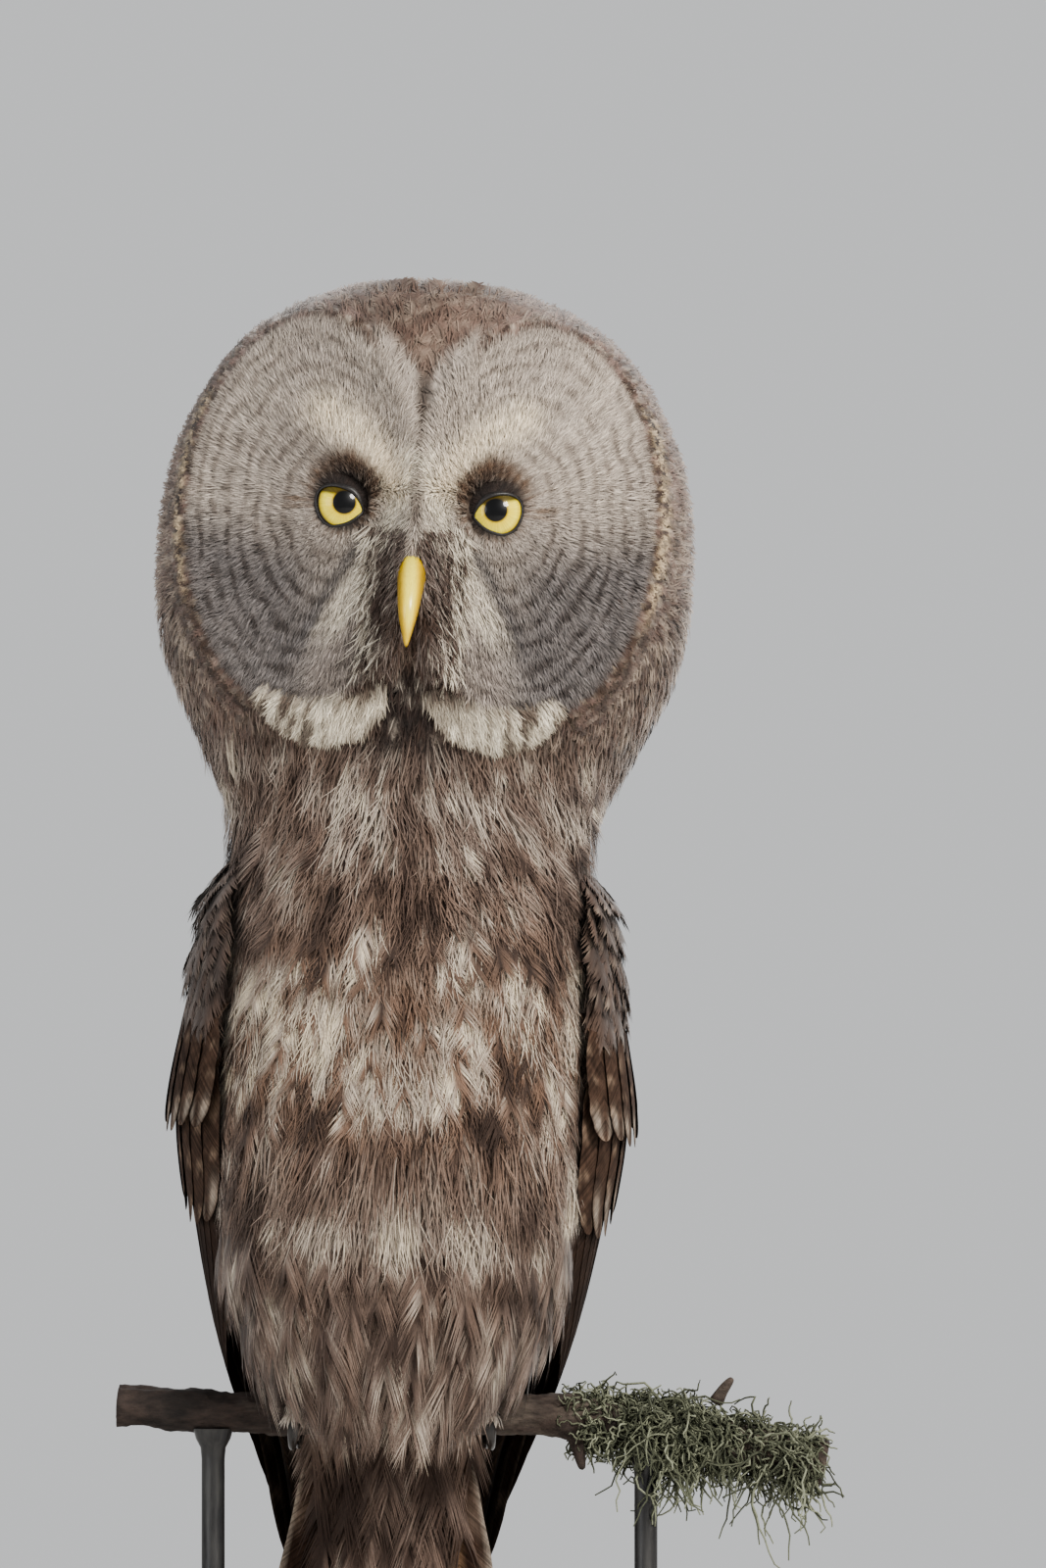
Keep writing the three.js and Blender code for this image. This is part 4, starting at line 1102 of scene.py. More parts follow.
def scatter(count, weight, rng):
    """Points and normals of roots spread over the skin, denser where weight is higher."""
    corners = SURFACE[SURFACE_FACES]
    area = np.linalg.norm(np.cross(corners[:, 1] - corners[:, 0], corners[:, 2] - corners[:, 0]), axis=1) / 2
    share = area * weight(corners.mean(1))
    chosen = rng.choice(len(SURFACE_FACES), count, p=share / share.sum())
    a, b = rng.random(count), rng.random(count)
    over = a + b > 1
    a, b = np.where(over, 1 - a, a), np.where(over, 1 - b, b)
    weights = np.stack([1 - a - b, a, b], axis=-1)[..., None]
    at = (SURFACE[SURFACE_FACES[chosen]] * weights).sum(1)
    normal = unit((SURFACE_NORMALS[SURFACE_FACES[chosen]] * weights).sum(1))
    return at, normal


def thinned(at, normal, pitch):
    """Keeps one root in each cell, so that they are evenly spread."""
    cell = np.floor(at / pitch).astype(int)
    _, first = np.unique(cell, axis=0, return_index=True)
    return at[first], normal[first]


def in_disc(points):
    """Distance beyond the facial disc's outline, negative inside it."""
    distance, outline = disc_reach(np.abs(points[:, 0]), points[:, 2])
    beyond = distance - outline
    return np.where(points[:, 1] < -8, beyond, 60)


def tangent(direction, normal):
    return unit(direction - normal * (direction * normal).sum(1, keepdims=True))


def set_back(at, along, reach):
    """Roots moved back along their feathers by a reach in millimetres."""
    return at - along * reach[:, None]


def eye_distance(points):
    return np.hypot(np.abs(points[:, 0]) - EYE.x, points[:, 2] - EYE.z)


def face_flow(points):
    """Lie of the face's feathers: out from each eye, and down past the bill at the lores."""
    x, _, z = points.T
    side = np.where(x < 0, -1.0, 1.0)
    u = np.abs(x)
    radial = unit(np.stack([u - EYE.x, np.zeros_like(u), z - EYE.z], axis=-1))
    down = unit(np.stack([np.full_like(u, 0.42), np.zeros_like(u), np.full_like(u, -1.0)], axis=-1))
    lores, _ = path_distance(u, z, LORES)
    share = np.maximum(hill(lores, 0, 6.5), smooth(-u, -17, -9)) * smooth(-z, -318, -300)
    flow = unit(mix(radial, down, share))
    flow[:, 0] *= side
    return flow


def crown_flow(points):
    """Lie of the feathers behind the disc: back over the crown and down to the nape."""
    x, y, z = points.T
    over = np.stack([0 * x, 1 + 0 * x, -1.2 * smooth(y, -15, 35)], axis=-1)
    low = np.array([0.0, 0.25, -1.0])
    return mix(over, low, smooth(-z, -290, -240))


# Facial disc


def disc_feathers(side, finish):
    """Fine tufts that run out from the eye and make the facial disc."""
    rng = np.random.default_rng(11 + side)
    coat = Coat()

    def weight(p):
        eye = eye_distance(p)
        inside = (in_disc(p) < 2.5) * (p[:, 0] * side > -1.0) * (eye > 9.0) * (p[:, 2] > 222)
        return inside * (1 + 1.6 * hill(eye, 11, 8))

    at, normal = scatter(38000, weight, rng)
    eye = eye_distance(at)
    sway = np.stack([noise(at, 7, 12) - 0.5, 0 * eye, noise(at, 7, 13) - 0.5], axis=-1)
    along = tangent(face_flow(at) + 0.45 * sway + rng.normal(0, 0.10, at.shape), normal)
    length = mix(3.4, 10.5, smooth(eye, 10, 32)) * rng.uniform(0.8, 1.2, len(at))
    tip = 0.4 + rng.normal(0.1, 0.4, len(at)) - 0.5 * (1 - smooth(eye, 10, 16))
    blades(coat, set_back(at, along, length * 0.6 * smooth(eye, 10, 20)), normal, along, length,
           mix(0.45, 0.72, smooth(eye, 10, 32)), (0.4 - coat_depth(at), tip), head_colour, rng,
           sag=0.004, streaky=0.7, vary=0.75)
    return coat.make(f"disc_feathers_{word_of(side)}", finish, "face", ringed=True)


# Distance of a row beyond the disc's outline, length and height of its tips
RUFF_ROWS = [(-1.0, 8.0, 1.5), (1.2, 9.0, 1.9), (3.6, 10.0, 1.7), (6.2, 11.0, 1.3), (9.0, 12.0, 0.9)]


def ruff_feathers(side, finish):
    """Rows of short stiff feathers round the disc, curved back over the side of the head."""
    rng = np.random.default_rng(21 + side)
    coat = Coat()
    for offset, length, tip in RUFF_ROWS:
        turn = np.radians(np.linspace(-16, 158, 150)) + rng.normal(0, 0.012, 150)
        u = DISC_X + (DISC_HALF_WIDTH + offset) * np.sin(turn)
        z = DISC_Z + (DISC_HALF_HEIGHT + offset) * np.cos(turn)
        keep = (u > 14) & (z < 366)
        turn, u, z = turn[keep], u[keep], z[keep]
        half = look_up(HEAD, z)[0]
        angle = np.arcsin(np.clip(u / half, 0, 0.985) ** (1 / SQUARENESS))
        at, normal, _ = surface_frame(z, angle * side)
        outward = np.stack([np.sin(turn) * side / DISC_HALF_WIDTH, np.full_like(turn, 0.006),
                            np.cos(turn) / DISC_HALF_HEIGHT], axis=-1)
        outward = unit(outward) + np.array([0, 0.25, -0.35])
        along = tangent(unit(outward) + rng.normal(0, 0.08, at.shape), normal)
        size = length * rng.uniform(0.85, 1.15, len(at))
        barbed_feathers(coat, set_back(at, along, 0.45 * size), normal, along, size, 4.4, (-5.0, tip),
                        ruff_pattern, rng, barbs=9, camber=0.2, sag=0.012)
    return coat.make(f"ruff_feathers_{word_of(side)}", finish, "face")


def ruff_pattern(points, local, chance):
    base = head_colour(points)
    tip = smooth(local[:, 1], 0.74, 0.86)
    base = tinted(base, DARK, 0.55 * tip * (chance > 0.6))
    band = smooth(local[:, 1], 0.45, 0.6) * (1 - tip) * (chance > 0.7)
    return tinted(base, tinted(PALE, GOLD, 0.4), 0.40 * band)


def tie_feathers(finish):
    """White tufts of the band under the discs, combed down and outwards."""
    rng = np.random.default_rng(51)
    coat = Coat()

    def weight(p):
        return (tie_share(np.abs(p[:, 0]), p[:, 2]) > 0.3) * (p[:, 1] < -20)

    at, normal = scatter(7000, weight, rng)
    side = np.sign(at[:, 0])
    tuft = noise(at, 3.2, 58) - 0.5
    lie = np.stack([side * (0.10 + 0.012 * np.abs(at[:, 0])) + 0.9 * tuft, 0 * side, -1 + 0 * side], axis=-1)
    along = tangent(lie + rng.normal(0, 0.10, at.shape), normal)
    length = rng.uniform(6.5, 11, len(at))
    blades(coat, set_back(at, along, 0.6 * length), normal, along, length, 0.75,
           (-3.5, rng.normal(1.6, 0.6, len(at))), tie_colour, rng,
           sag=0.006, streaky=0.6, root_shade=0.6, vary=0.4)
    return coat.make("white_band_feathers", finish, "face")


def tie_colour(points):
    u = np.abs(points[:, 0])
    lie = points[:, 2] * 0.2 * np.sign(points[:, 0])
    gap = noise(np.stack([points[:, 0] + lie, 0 * lie, 0.28 * points[:, 2]], axis=-1), 1.5, 59)
    edge = tie_share(u, points[:, 2] + 1.5)
    dark = smooth(gap, 0.58, 0.76) * mix(0.40, 1.0, smooth(u, 20, 44)) + 0.6 * (1 - edge)
    white = tinted(WHITE, tinted(CREAM, GREY, 0.3), 0.55 * smooth(gap, 0.3, 0.6))
    return tinted(white, UMBER, np.clip(dark, 0, 0.9))


def bill_bristles(finish):
    """Loose bristly feathers that sweep past the bill and over its base."""
    rng = np.random.default_rng(55)
    coat = Coat()
    count = 4200
    side = rng.choice([-1.0, 1.0], count)
    u = 1.5 + 15.5 * rng.random(count)
    z = rng.uniform(256, 302, count)
    angle = side * np.arcsin((u / look_up(HEAD, z)[0]) ** (1 / SQUARENESS))
    at, normal, _ = surface_frame(z, angle)
    low = smooth(-z, -290, -262)
    lie = np.stack([side * mix(0.55, 0.30, low), mix(-0.55, -0.25, low), -1.0 + 0 * z], axis=-1)
    along = unit(lie + rng.normal(0, 0.13, at.shape))
    length = rng.uniform(8, 16, count) * mix(0.75, 1.0, low)
    blades(coat, at - normal * 2.5, normal, along, length, 0.5, (0.0, 0.6), bristle_colour, rng, segments=4,
           sag=0.006, curl=0.18, streaky=0.8, root_shade=0.5)
    return coat.make("bill_bristles", finish, "face")


def bristle_colour(points):
    fine = noise(points * [2.2, 1, 0.3], 2.2, 57)
    u = np.abs(points[:, 0])
    grey = tinted(UMBER, tinted(GREY, BROWN, 0.4), smooth(fine, 0.3, 0.7))
    return tinted(grey, WHITE, 0.75 * smooth(fine + 0.03 * (u - 9), 0.62, 0.88))


def small_pattern(points, local, chance):
    """Small feathers of crown and nape: dark middle, pale bars and edge."""
    colour = plumage_colour(points)
    bars = smooth(np.cos(local[:, 1] * 15 + chance * 6), 0.1, 0.8)
    edge = smooth(np.abs(local[:, 0]), 0.35, 0.8)
    colour = tinted(colour, colour * 0.55, 0.55 * bars * (1 - 0.5 * edge))
    return tinted(colour, tinted(PALE, TAN, 0.4), 0.30 * smooth(local[:, 1], 0.7, 1.0) * edge)


def head_feathers(name, first, last, seed, finish):
    """Small feathers of the head between two distances from front to back."""
    rng = np.random.default_rng(seed)
    coat = Coat()

    def weight(p):
        return (in_disc(p) > 5.0) * (p[:, 2] > 206) * (p[:, 1] >= first) * (p[:, 1] < last)

    at, normal = thinned(*scatter(30000, weight, rng), 4.7)
    if first < 0:
        # The crown's very top, where the scattered roots are too far apart
        top = np.array([(x, y, CROWN) for x in (-4, 0, 4) for y in (-10, -6, -2)], float)
        at = np.vstack([at, top])
        normal = np.vstack([normal, 0 * top + [0, 0, 1]])
    along = tangent(crown_flow(at) + rng.normal(0, 0.10, at.shape), normal)
    length = mix(17, 12, smooth(at[:, 2], 300, 370)) * rng.uniform(0.85, 1.15, len(at))
    barbed_feathers(coat, set_back(at, along, 0.5 * length), normal, along, length, 8.5, (-2.6, 0.9),
                    small_pattern, rng, barbs=11, sag=0.010, root_shade=0.75, shaft=0.1)
    at, normal = scatter(6500, weight, rng)
    along = tangent(crown_flow(at) + rng.normal(0, 0.16, at.shape), normal)
    length = rng.uniform(6, 10, len(at))
    blades(coat, set_back(at, along, 0.5 * length), normal, along, length, 0.55,
           (-1.8, rng.normal(1.1, 0.4, len(at))), plumage_colour, rng,
           sag=0.010, root_shade=0.85, streaky=0.6, vary=0.5)
    return coat.make(name, finish, "face")


# Body


def breast_pattern(points, local, chance):
    """Long soft feathers with a dark shaft streak and pale sides, spotted with cream lower down."""
    z = points[:, 2]
    across, t = np.abs(local[:, 0]), local[:, 1]
    streak = hill(across, 0, 0.34) * smooth(t, 0.25, 0.7)
    upper = smooth(z, 140, 185)
    spotted = hill(z, 120, 34)
    spots = hill(across, 0.62, 0.34) * hill(t, 0.90, 0.16) * (chance > 0.25)
    edge = smooth(across, 0.45, 0.9)
    shift = (0.22 + 0.30 * upper) * streak - 0.18 * edge * upper - 0.26 * (chance - 0.5)
    return plumage_colour(points, shift + spotted * (0.10 - 0.42 * spots))


def lattice(rows, pitch, first, last, rng):
    """Heights and angles of quincunx rows between two angles."""
    heights, angles = [], []
    for i, z in enumerate(rows):
        half, front, back = look_up(BODY, z)
        radius = (half + (back - front) / 2) / 2
        count = max(2, int(abs(last - first) * radius / pitch))
        step = (last - first) / count
        row = first + step * (np.arange(count) + 0.5 * (i % 2)) + rng.normal(0, 0.12 * step, count)
        angles.append(row)
        heights.append(np.full(count, z) + rng.normal(0, 1.2, count))
    return np.concatenate(heights), np.concatenate(angles)


COAT_TOP, COAT_BOTTOM = 226, 30
BREAST_EDGE = 1.75


def body_feathers(name, first, last, seed, finish, pattern, barbs):
    """Long feathers in rows between two angles round the body."""
    rng = np.random.default_rng(seed)
    coat = Coat()
    rows = np.arange(COAT_TOP, COAT_BOTTOM, -7.5)
    z, angle = lattice(rows, 8.5, first, last, rng)
    at, normal, _ = surface_frame(z, angle)
    along = body_lie(at, normal, rng, 0.06)
    length = 36 * rng.uniform(0.85, 1.15, len(at))
    rise = rng.normal(1.8, 0.6, len(at))
    barbed_feathers(coat, set_back(at, along, 0.35 * length), normal, along, length, 16,
                    (-6.8, rise), pattern, rng, barbs=barbs, sag=0.0013, loose=0.08, sweep=0.55)
    return coat.make(name, finish, "plumage")


def loose_down(finish):
    """Fine loose barbs over the breast's feathers, which soften them as in life."""
    rng = np.random.default_rng(43)
    coat = Coat()
    count = 15000

    def weight(p):
        angle = np.abs(np.arctan2(p[:, 0], -p[:, 1]))
        return (p[:, 2] < 222) * (p[:, 2] > 40) * (angle <= 1.5)

    at, normal = scatter(count, weight, rng)
    along = body_lie(at, normal, rng, 0.11)
    length = rng.uniform(8, 19, count)
    blades(coat, set_back(at, along, 0.45 * length), normal, along, length, 0.42,
           (-2.0, rng.normal(1.9, 0.7, count)), plumage_colour, rng, segments=4, sag=0.0012, curl=0.16,
           root_shade=0.85, streaky=0.85, vary=0.2)
    return coat.make("breast_down", finish, "plumage")


def body_lie(at, normal, rng, spread):
    """Lie of the body feathers: down and a little outwards, gathered in wisps."""
    x, y, z = at.T
    outward = np.sign(x) * smooth(np.abs(x), 0, 12) * (0.10 + 0.20 * smooth(z, 150, 200))
    outward = outward * smooth(-y, 0, 35)
    wisp = 0.5 * (noise(at * [1, 1, 0.5], 10, 62) - 0.5) + 0.3 * (noise(at * [1, 1, 0.5], 4.5, 63) - 0.5)
    lie = np.stack([outward + wisp, 0 * x, -np.ones_like(x)], axis=-1)
    return tangent(lie + rng.normal(0, spread, at.shape), normal)


def back_pattern(points, local, chance):
    """Grey-brown back feathers with dark middles and pale broken bars."""
    across, t = np.abs(local[:, 0]), local[:, 1]
    bars = smooth(np.cos(t * 17 + chance * 2), 0.1, 0.8) * smooth(across, 0.12, 0.4)
    shift = 0.16 + 0.30 * hill(across, 0, 0.3) - 0.34 * bars - 0.15 * (chance - 0.5)
    return plumage_colour(points, shift)


def skirt_surface(z, angle):
    half, front, back = look_up(SKIRT, z)
    return on_section(half, (front + back) / 2, (back - front) / 2, z, angle)


def skirt_pattern(points, local, chance):
    """Long pale belly and vent feathers with faint brown bars."""
    across, t = np.abs(local[:, 0]), local[:, 1]
    bars = smooth(np.cos(t * 16 + chance * 6), 0.2, 0.9) * smooth(-across, -0.95, -0.5)
    shift = 0.16 * bars + 0.16 * hill(across, 0, 0.3) - 0.04 - 0.14 * (chance - 0.5)
    return body_colour(points, shift)


# Height of a row, length, lift of the tips, half the angle it spans and pitch
SKIRT_TIERS = [
    (34, 46, 2.0, 1.20, 8.0), (42, 48, 4.0, 1.25, 8.0), (50, 46, 5.5, 1.35, 8.0), (58, 42, 6.5, 1.40, 8.5),
    (66, 38, 6.5, 1.45, 8.5), (74, 34, 6.0, 1.45, 9.0),
]


def skirt_feathers(finish):
    """Loose belly and vent feathers that hang over the feet and the branch."""
    rng = np.random.default_rng(61)
    coat = Coat()
    for top, length, rise, span, pitch in SKIRT_TIERS:
        angle = np.arange(-span, span, pitch / look_up(SKIRT, top)[0])
        angle = angle + rng.normal(0, 0.02, len(angle))
        z = top + rng.normal(0, 1.5, len(angle))
        at, normal, down = surface_frame(z, angle, skirt_surface)
        along = tangent(down + rng.normal(0, 0.06, at.shape), normal)
        reach = mix(length, np.minimum(length, top - 4.0), at_side(angle))
        reach = reach * rng.uniform(0.88, 1.08, len(angle))
        tips = rise + rng.normal(0, 0.7, len(angle))
        barbed_feathers(coat, at, normal, along, reach, 16, (-4.5, tips), skirt_pattern, rng,
                        barbs=40, sag=0.0, loose=0.05, camber=0.12, sweep=0.85)
    skirt_down(coat, rng)
    return coat.make("belly_and_vent_feathers", finish, "plumage")


def at_side(angle):
    """Share of the belly's sides, where its feathers stay short and close."""
    return smooth(np.abs(angle), 0.62, 1.15)


def skirt_down(coat, rng):
    """Loose barbs over the belly and vent feathers."""
    count = 18000
    z = rng.uniform(8, 92, count)
    angle = rng.uniform(-1.4, 1.4, count)
    at, normal, _ = surface_frame(z, angle, skirt_surface)
    aside = at_side(angle)
    length = np.minimum(rng.uniform(15, 34, count), mix(40, np.minimum(z + 2, 22), aside))
    inward = np.stack([-0.16 * aside * np.sign(at[:, 0]), 0 * z, 0 * z], axis=-1)
    along = tangent(body_lie(at, normal, rng, 0.09) + inward, normal)
    low = rng.uniform(-4.0, 1.0, count)
    high = rng.uniform(3.0, 9.0, count) * mix(1, 0.45, aside)
    blades(coat, at, normal, along, length, 0.5, (low, high), body_colour, rng,
           segments=4, sag=0.0008, curl=0.12, root_shade=0.75, streaky=0.85)


# Wings and tail


def wing_surface(side):
    def at(z, share, lift=0.0):
        half, middle, depth, first, last = look_up(WING, z)
        angle = np.radians(first + (last - first) * share)
        point = on_section(half, middle, depth, z, angle, lift)
        point[..., 0] *= side
        return point

    return at


def wing_width(z):
    """Millimetres across the folded wing at a height."""
    half, _, depth, first, last = look_up(WING, z)
    return np.radians(last - first) * 0.5 * (half + depth)


def vane_profile(t, blunt):
    """Share of a vane's full half width along its length, rounded over its last `blunt` share."""
    tip = np.sqrt(np.clip(1 - (np.clip(t - (1 - blunt), 0, blunt) / blunt) ** 2, 0, 1))
    return mix(0.4, 1.0, smooth(t, 0, 0.35)) * tip


# A point on the upright line from which the wings and tail face outwards
BODY_AXIS = (0, 25, 0)
VANE_COLUMNS = 9
QUILL_HEIGHT = 0.45


def vanes(coat, place, half_width, pattern, rng, *, stations=24, camber=0.04, cell=(0, 0, 1), blunt=0.30):
    """Broad feathers. `place(t, sideways, lift)` gives points for shares of the length and millimetres.

    `cell` is the corner and the size of the square that they take of the bake map.
    """
    count, columns = len(half_width), VANE_COLUMNS
    s = np.linspace(0, 1, stations)
    t = (1 - (1 - s) ** 1.7)[None, :, None]
    across = np.linspace(-1, 1, columns)[None, None, :]
    notch = 1 - 0.05 * np.abs(across) ** 4 * (rng.random((count, stations, 1)) > 0.6)
    width = half_width[:, None, None] * vane_profile(t, blunt) * notch
    sideways = width * across * np.ones((count, stations, columns))
    shaft = QUILL_HEIGHT * np.exp(-((sideways / 0.9) ** 2)) * (1 - 0.7 * t)
    lift = shaft - camber * np.abs(sideways) ** 1.6 / 3
    points = place(t * np.ones_like(sideways), sideways, lift)
    r, c = np.meshgrid(np.arange(stations - 1), np.arange(columns - 1), indexing="ij")
    a = (r * columns + c).ravel()
    pattern_faces = np.concatenate([
        np.stack([a, a + 1, a + columns + 1], axis=-1),
        np.stack([a, a + columns + 1, a + columns], axis=-1),
    ])
    per = stations * columns
    flat = points.reshape(-1, 3)
    faces = (np.arange(count)[:, None, None] * per + pattern_faces[None]).reshape(-1, 3)
    local = np.stack(np.broadcast_arrays(across, t, sideways)[:2], axis=-1).reshape(-1, 2)
    chance = np.repeat(rng.random(count), per)
    normals = vertex_normals(flat, faces)
    outward = (flat - BODY_AXIS) * [1, 1, 0]
    turned = (normals * outward).reshape(count, -1, 3).sum((1, 2)) < 0
    index = np.repeat(turned, len(pattern_faces))
    faces[index] = faces[index][:, ::-1]
    normals = np.where(np.repeat(turned, per)[:, None], -normals, normals)
    tint = pattern(flat, local, chance)
    patches = math.ceil(math.sqrt(count))
    corner = np.stack([np.arange(count) % patches, np.arange(count) // patches], axis=-1) / patches
    spots = corner[:, None] + (0.05 + 0.9 * (local.reshape(count, per, 2) * [0.5, 1] + [0.5, 0])) / patches
    spots = np.array(cell[:2]) + spots * cell[2]
    shaft_line = points[:, :, columns // 2]
    steps = np.linalg.norm(np.diff(shaft_line, axis=1), axis=-1)
    run = np.concatenate([np.zeros((count, 1)), np.cumsum(steps, axis=1)], axis=1)
    barb = run[:, :, None] - 0.9 * np.abs(sideways)
    coat.add(flat, faces, normals, tint, barb.ravel(), chance, spots.reshape(-1, 2))


def flight_pattern(points, local, chance):
    """Dark brown flight feathers, darkened further as painted shade, with pale grey-brown bars, thin pale
    edge and pale shaft line.
    """
    across, t = local[:, 0], local[:, 1]
    bars = smooth(np.cos(t * 44 + 0.9 * np.abs(across) + chance * 5), 0.25, 0.85)
    mottle = noise(points * [1, 1, 1.6], 2.4, 71)
    # The factor 0.8 is painted shade over the feathers' own dark brown.
    colour = 0.8 * tinted(DARK, UMBER, 0.45 * mottle)
    pale = tinted(BROWN, PALE, 0.45)
    colour = tinted(colour, pale, 0.34 * bars * smooth(mottle, 0.25, 0.65))
    colour = tinted(colour, tinted(PALE, GREY, 0.3), 0.20 * smooth(np.abs(across), 0.90, 0.99))
    return tinted(colour, TAN, 0.25 * hill(across, 0, 0.045))


def edge_pattern(points, local, chance):
    """Nearly plain dark feathers of the wing's front edge, darkened further as painted shade, each with a
    thin pale border.
    """
    across = np.abs(local[:, 0])
    # The factor 0.85 is painted shade over the feathers' own dark colour.
    colour = 0.85 * tinted(DARK, UMBER, 0.6 * noise(points, 5, 75))
    return tinted(colour, tinted(PALE, GREY, 0.2), 0.12 * hill(across, 0.95, 0.04))


def covert_pattern(points, local, chance):
    """Dark coverts, darkened further as painted shade, with pale spots on their outer webs and pale tips."""
    across, t = local[:, 0], local[:, 1]
    spot = hill(t, 0.86, 0.10) * hill(np.abs(across), 0.62, 0.30)
    bars = smooth(np.cos(t * 26 + chance * 6), 0.3, 0.9) * smooth(np.abs(across), 0.2, 0.5)
    mottle = noise(points, 2.2, 72)
    # 0.85 on DARK is painted shade over the coverts' own dark colour.
    colour = tinted(0.85 * DARK, BROWN, 0.05 + 0.5 * mottle)
    colour = tinted(colour, tinted(TAN, PALE, 0.3), 0.42 * bars * smooth(mottle, 0.3, 0.6))
    return tinted(colour, PALE, np.clip(0.55 * spot * (chance > 0.35), 0, 1))


def scapular_pattern(points, local, chance):
    """Feathers over the wing's upper edge, whose outer webs are nearly white."""
    across, t = local[:, 0], local[:, 1]
    side = np.sign(points[:, 0])
    outer = smooth(-across * side, 0.1, 0.6) * smooth(t, 0.3, 0.6)
    base = covert_pattern(points, local, chance)
    bars = smooth(np.cos(t * 20 + chance * 6), 0.4, 0.9)
    return tinted(base, tinted(tinted(PALE, GREY, 0.3), UMBER, 0.6 * bars), 0.55 * outer)


def small_covert_pattern(points, local, chance):
    across, t = np.abs(local[:, 0]), local[:, 1]
    # 0.9 on DARK is painted shade over these coverts' own dark colour.
    colour = tinted(0.9 * DARK, BROWN, 0.15 + 0.5 * noise(points, 6, 73))
    bars = smooth(np.cos(t * 14 + chance * 6), 0.3, 0.9) * smooth(across, 0.1, 0.5)
    return tinted(colour, tinted(TAN, PALE, 0.6), 0.50 * bars * smooth(noise(points, 5, 74), 0.35, 0.7))


# The wing's broad feathers: count, top, tips of the first and the last, their shares of the wing's width,
# half width, rise, stack, pattern and bake cell
WING_TIERS = [
    (12, 134, (88, 96), (-0.08, 0.95), 8.5, 6.6, 0.0, covert_pattern, (0, 0, 0.5)),
    (12, 120, (56, 72), (-0.08, 0.95), 9.0, 5.0, 0.0, covert_pattern, (0.5, 0, 0.5)),
    (10, 100, (-66, -14), (0.36, 0.98), 11.5, 2.6, 0.55, flight_pattern, (0, 0.5, 0.5)),
    (9, 118, (6, -58), (-0.08, 0.40), 8.5, 4.2, 0.25, edge_pattern, (0.5, 0.5, 0.25)),
    (9, 34, (-168, -104), (0.04, 0.42), 10.0, None, 0.8, flight_pattern, (0.75, 0.5, 0.25)),
    (8, 176, (112, 86), (0.60, 1.02), 10.5, 9.0, 0.0, scapular_pattern, (0.5, 0.75, 0.25)),
]


def wing_coat(side, finish, flight_finish):
    """Coverts and scapulars of one folded wing, soft at the shoulder and broad below."""
    rng = np.random.default_rng(71 + side)
    surface = wing_surface(side)
    wing_shoulder(side, surface, rng, finish)
    coat = Coat()
    for count, top, tips, shares, half, rise, stack, pattern, cell in WING_TIERS:
        share = np.linspace(0, 1, count)
        middle = mix(*shares, share)
        tip = mix(*tips, share) + 2.5 * np.sin(5 * np.arange(count) + top)
        widths = np.full(count, half) * rng.uniform(0.95, 1.05, count)
        place = tier_place(surface, top, tip, middle, rise, stack)
        vanes(coat, place, widths, pattern, rng, cell=cell)
    piece = coat.make(f"wing_feathers_{word_of(side)}", flight_finish, "flight_feather")
    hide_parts(f"wing_{word_of(side)}")


def wing_shoulder(side, surface, rng, finish):
    """Small soft feathers of the wing's upper part, in rows."""
    coat = Coat()
    for z in np.arange(194, 112, -7.0):
        share = np.arange(-0.06, 1.02, 8.0 / wing_width(z)) + rng.normal(0, 0.012)
        heights = z + rng.normal(0, 1.2, len(share))
        at, normal, down = surface_frame(heights, share, surface)
        normal = normal * side
        along = tangent(down + rng.normal(0, 0.06, at.shape), normal)
        length = rng.uniform(22, 28, len(share))
        rise = mix(0.6, 3.6, smooth(-z, -186, -150)) + rng.normal(0, 0.3, len(share))
        barbed_feathers(coat, set_back(at, along, 0.3 * length), normal, along, length, 13.5, (-3.5, rise),
                        small_covert_pattern, rng, barbs=24, sag=0.002, loose=0.04, sweep=0.42)
    coat.make(f"wing_shoulder_{word_of(side)}", finish, "flight_feather")


def tier_place(surface, top, tip, middle, rise, stack):
    """Place of a tier's feathers, which lie on each other by `stack` and end `rise` over the surface."""
    number = np.arange(len(tip))[:, None, None]
    tip, middle = tip[:, None, None], middle[:, None, None]

    def place(t, sideways, lift):
        z = top + (tip - top) * t
        if rise is None:
            height = stack * (number - 7.0)
        else:
            root = -5 * (1 - smooth(t, 0, 0.14))
            height = root + 0.8 + t * (rise + stack * number) - 0.10 * sideways
        return surface(z, middle + sideways / wing_width(z), height + lift)

    return place


def tail_line(z):
    return 30 - 0.15 * z


def tail_pattern(points, local, chance):
    """Tail feathers: mottled dark brown with uneven pale bars."""
    across, t = local[:, 0], local[:, 1]
    wander = noise(points, 6, 81)
    bars = smooth(np.cos(t * 48 + 2.2 * wander + 1.2 * np.abs(across) + chance * 4), 0.1, 0.8)
    fine = noise(points, 1.8, 82)
    colour = tinted(UMBER, DARK, fine)
    colour = tinted(colour, tinted(TAN, GREY, 0.5), 0.62 * bars * smooth(fine, 0.15, 0.6))
    colour = tinted(colour, PALE, 0.55 * smooth(np.abs(across), 0.88, 0.98))
    return tinted(colour, TAN, 0.6 * hill(across, 0, 0.05))


TAIL_TOP, TAIL_TIP, TAIL_HALF_WIDTH, TAIL_ARCH = 8, -254, 12.5, 0.006
# Side of the tail's coverts, their distance from its line and the heights of their rows
TAIL_COVERTS = [(1.0, 7.0, (20, 6, -8, -22, -34)), (-1.0, -9.0, (20, 8, -4, -16, -26))]


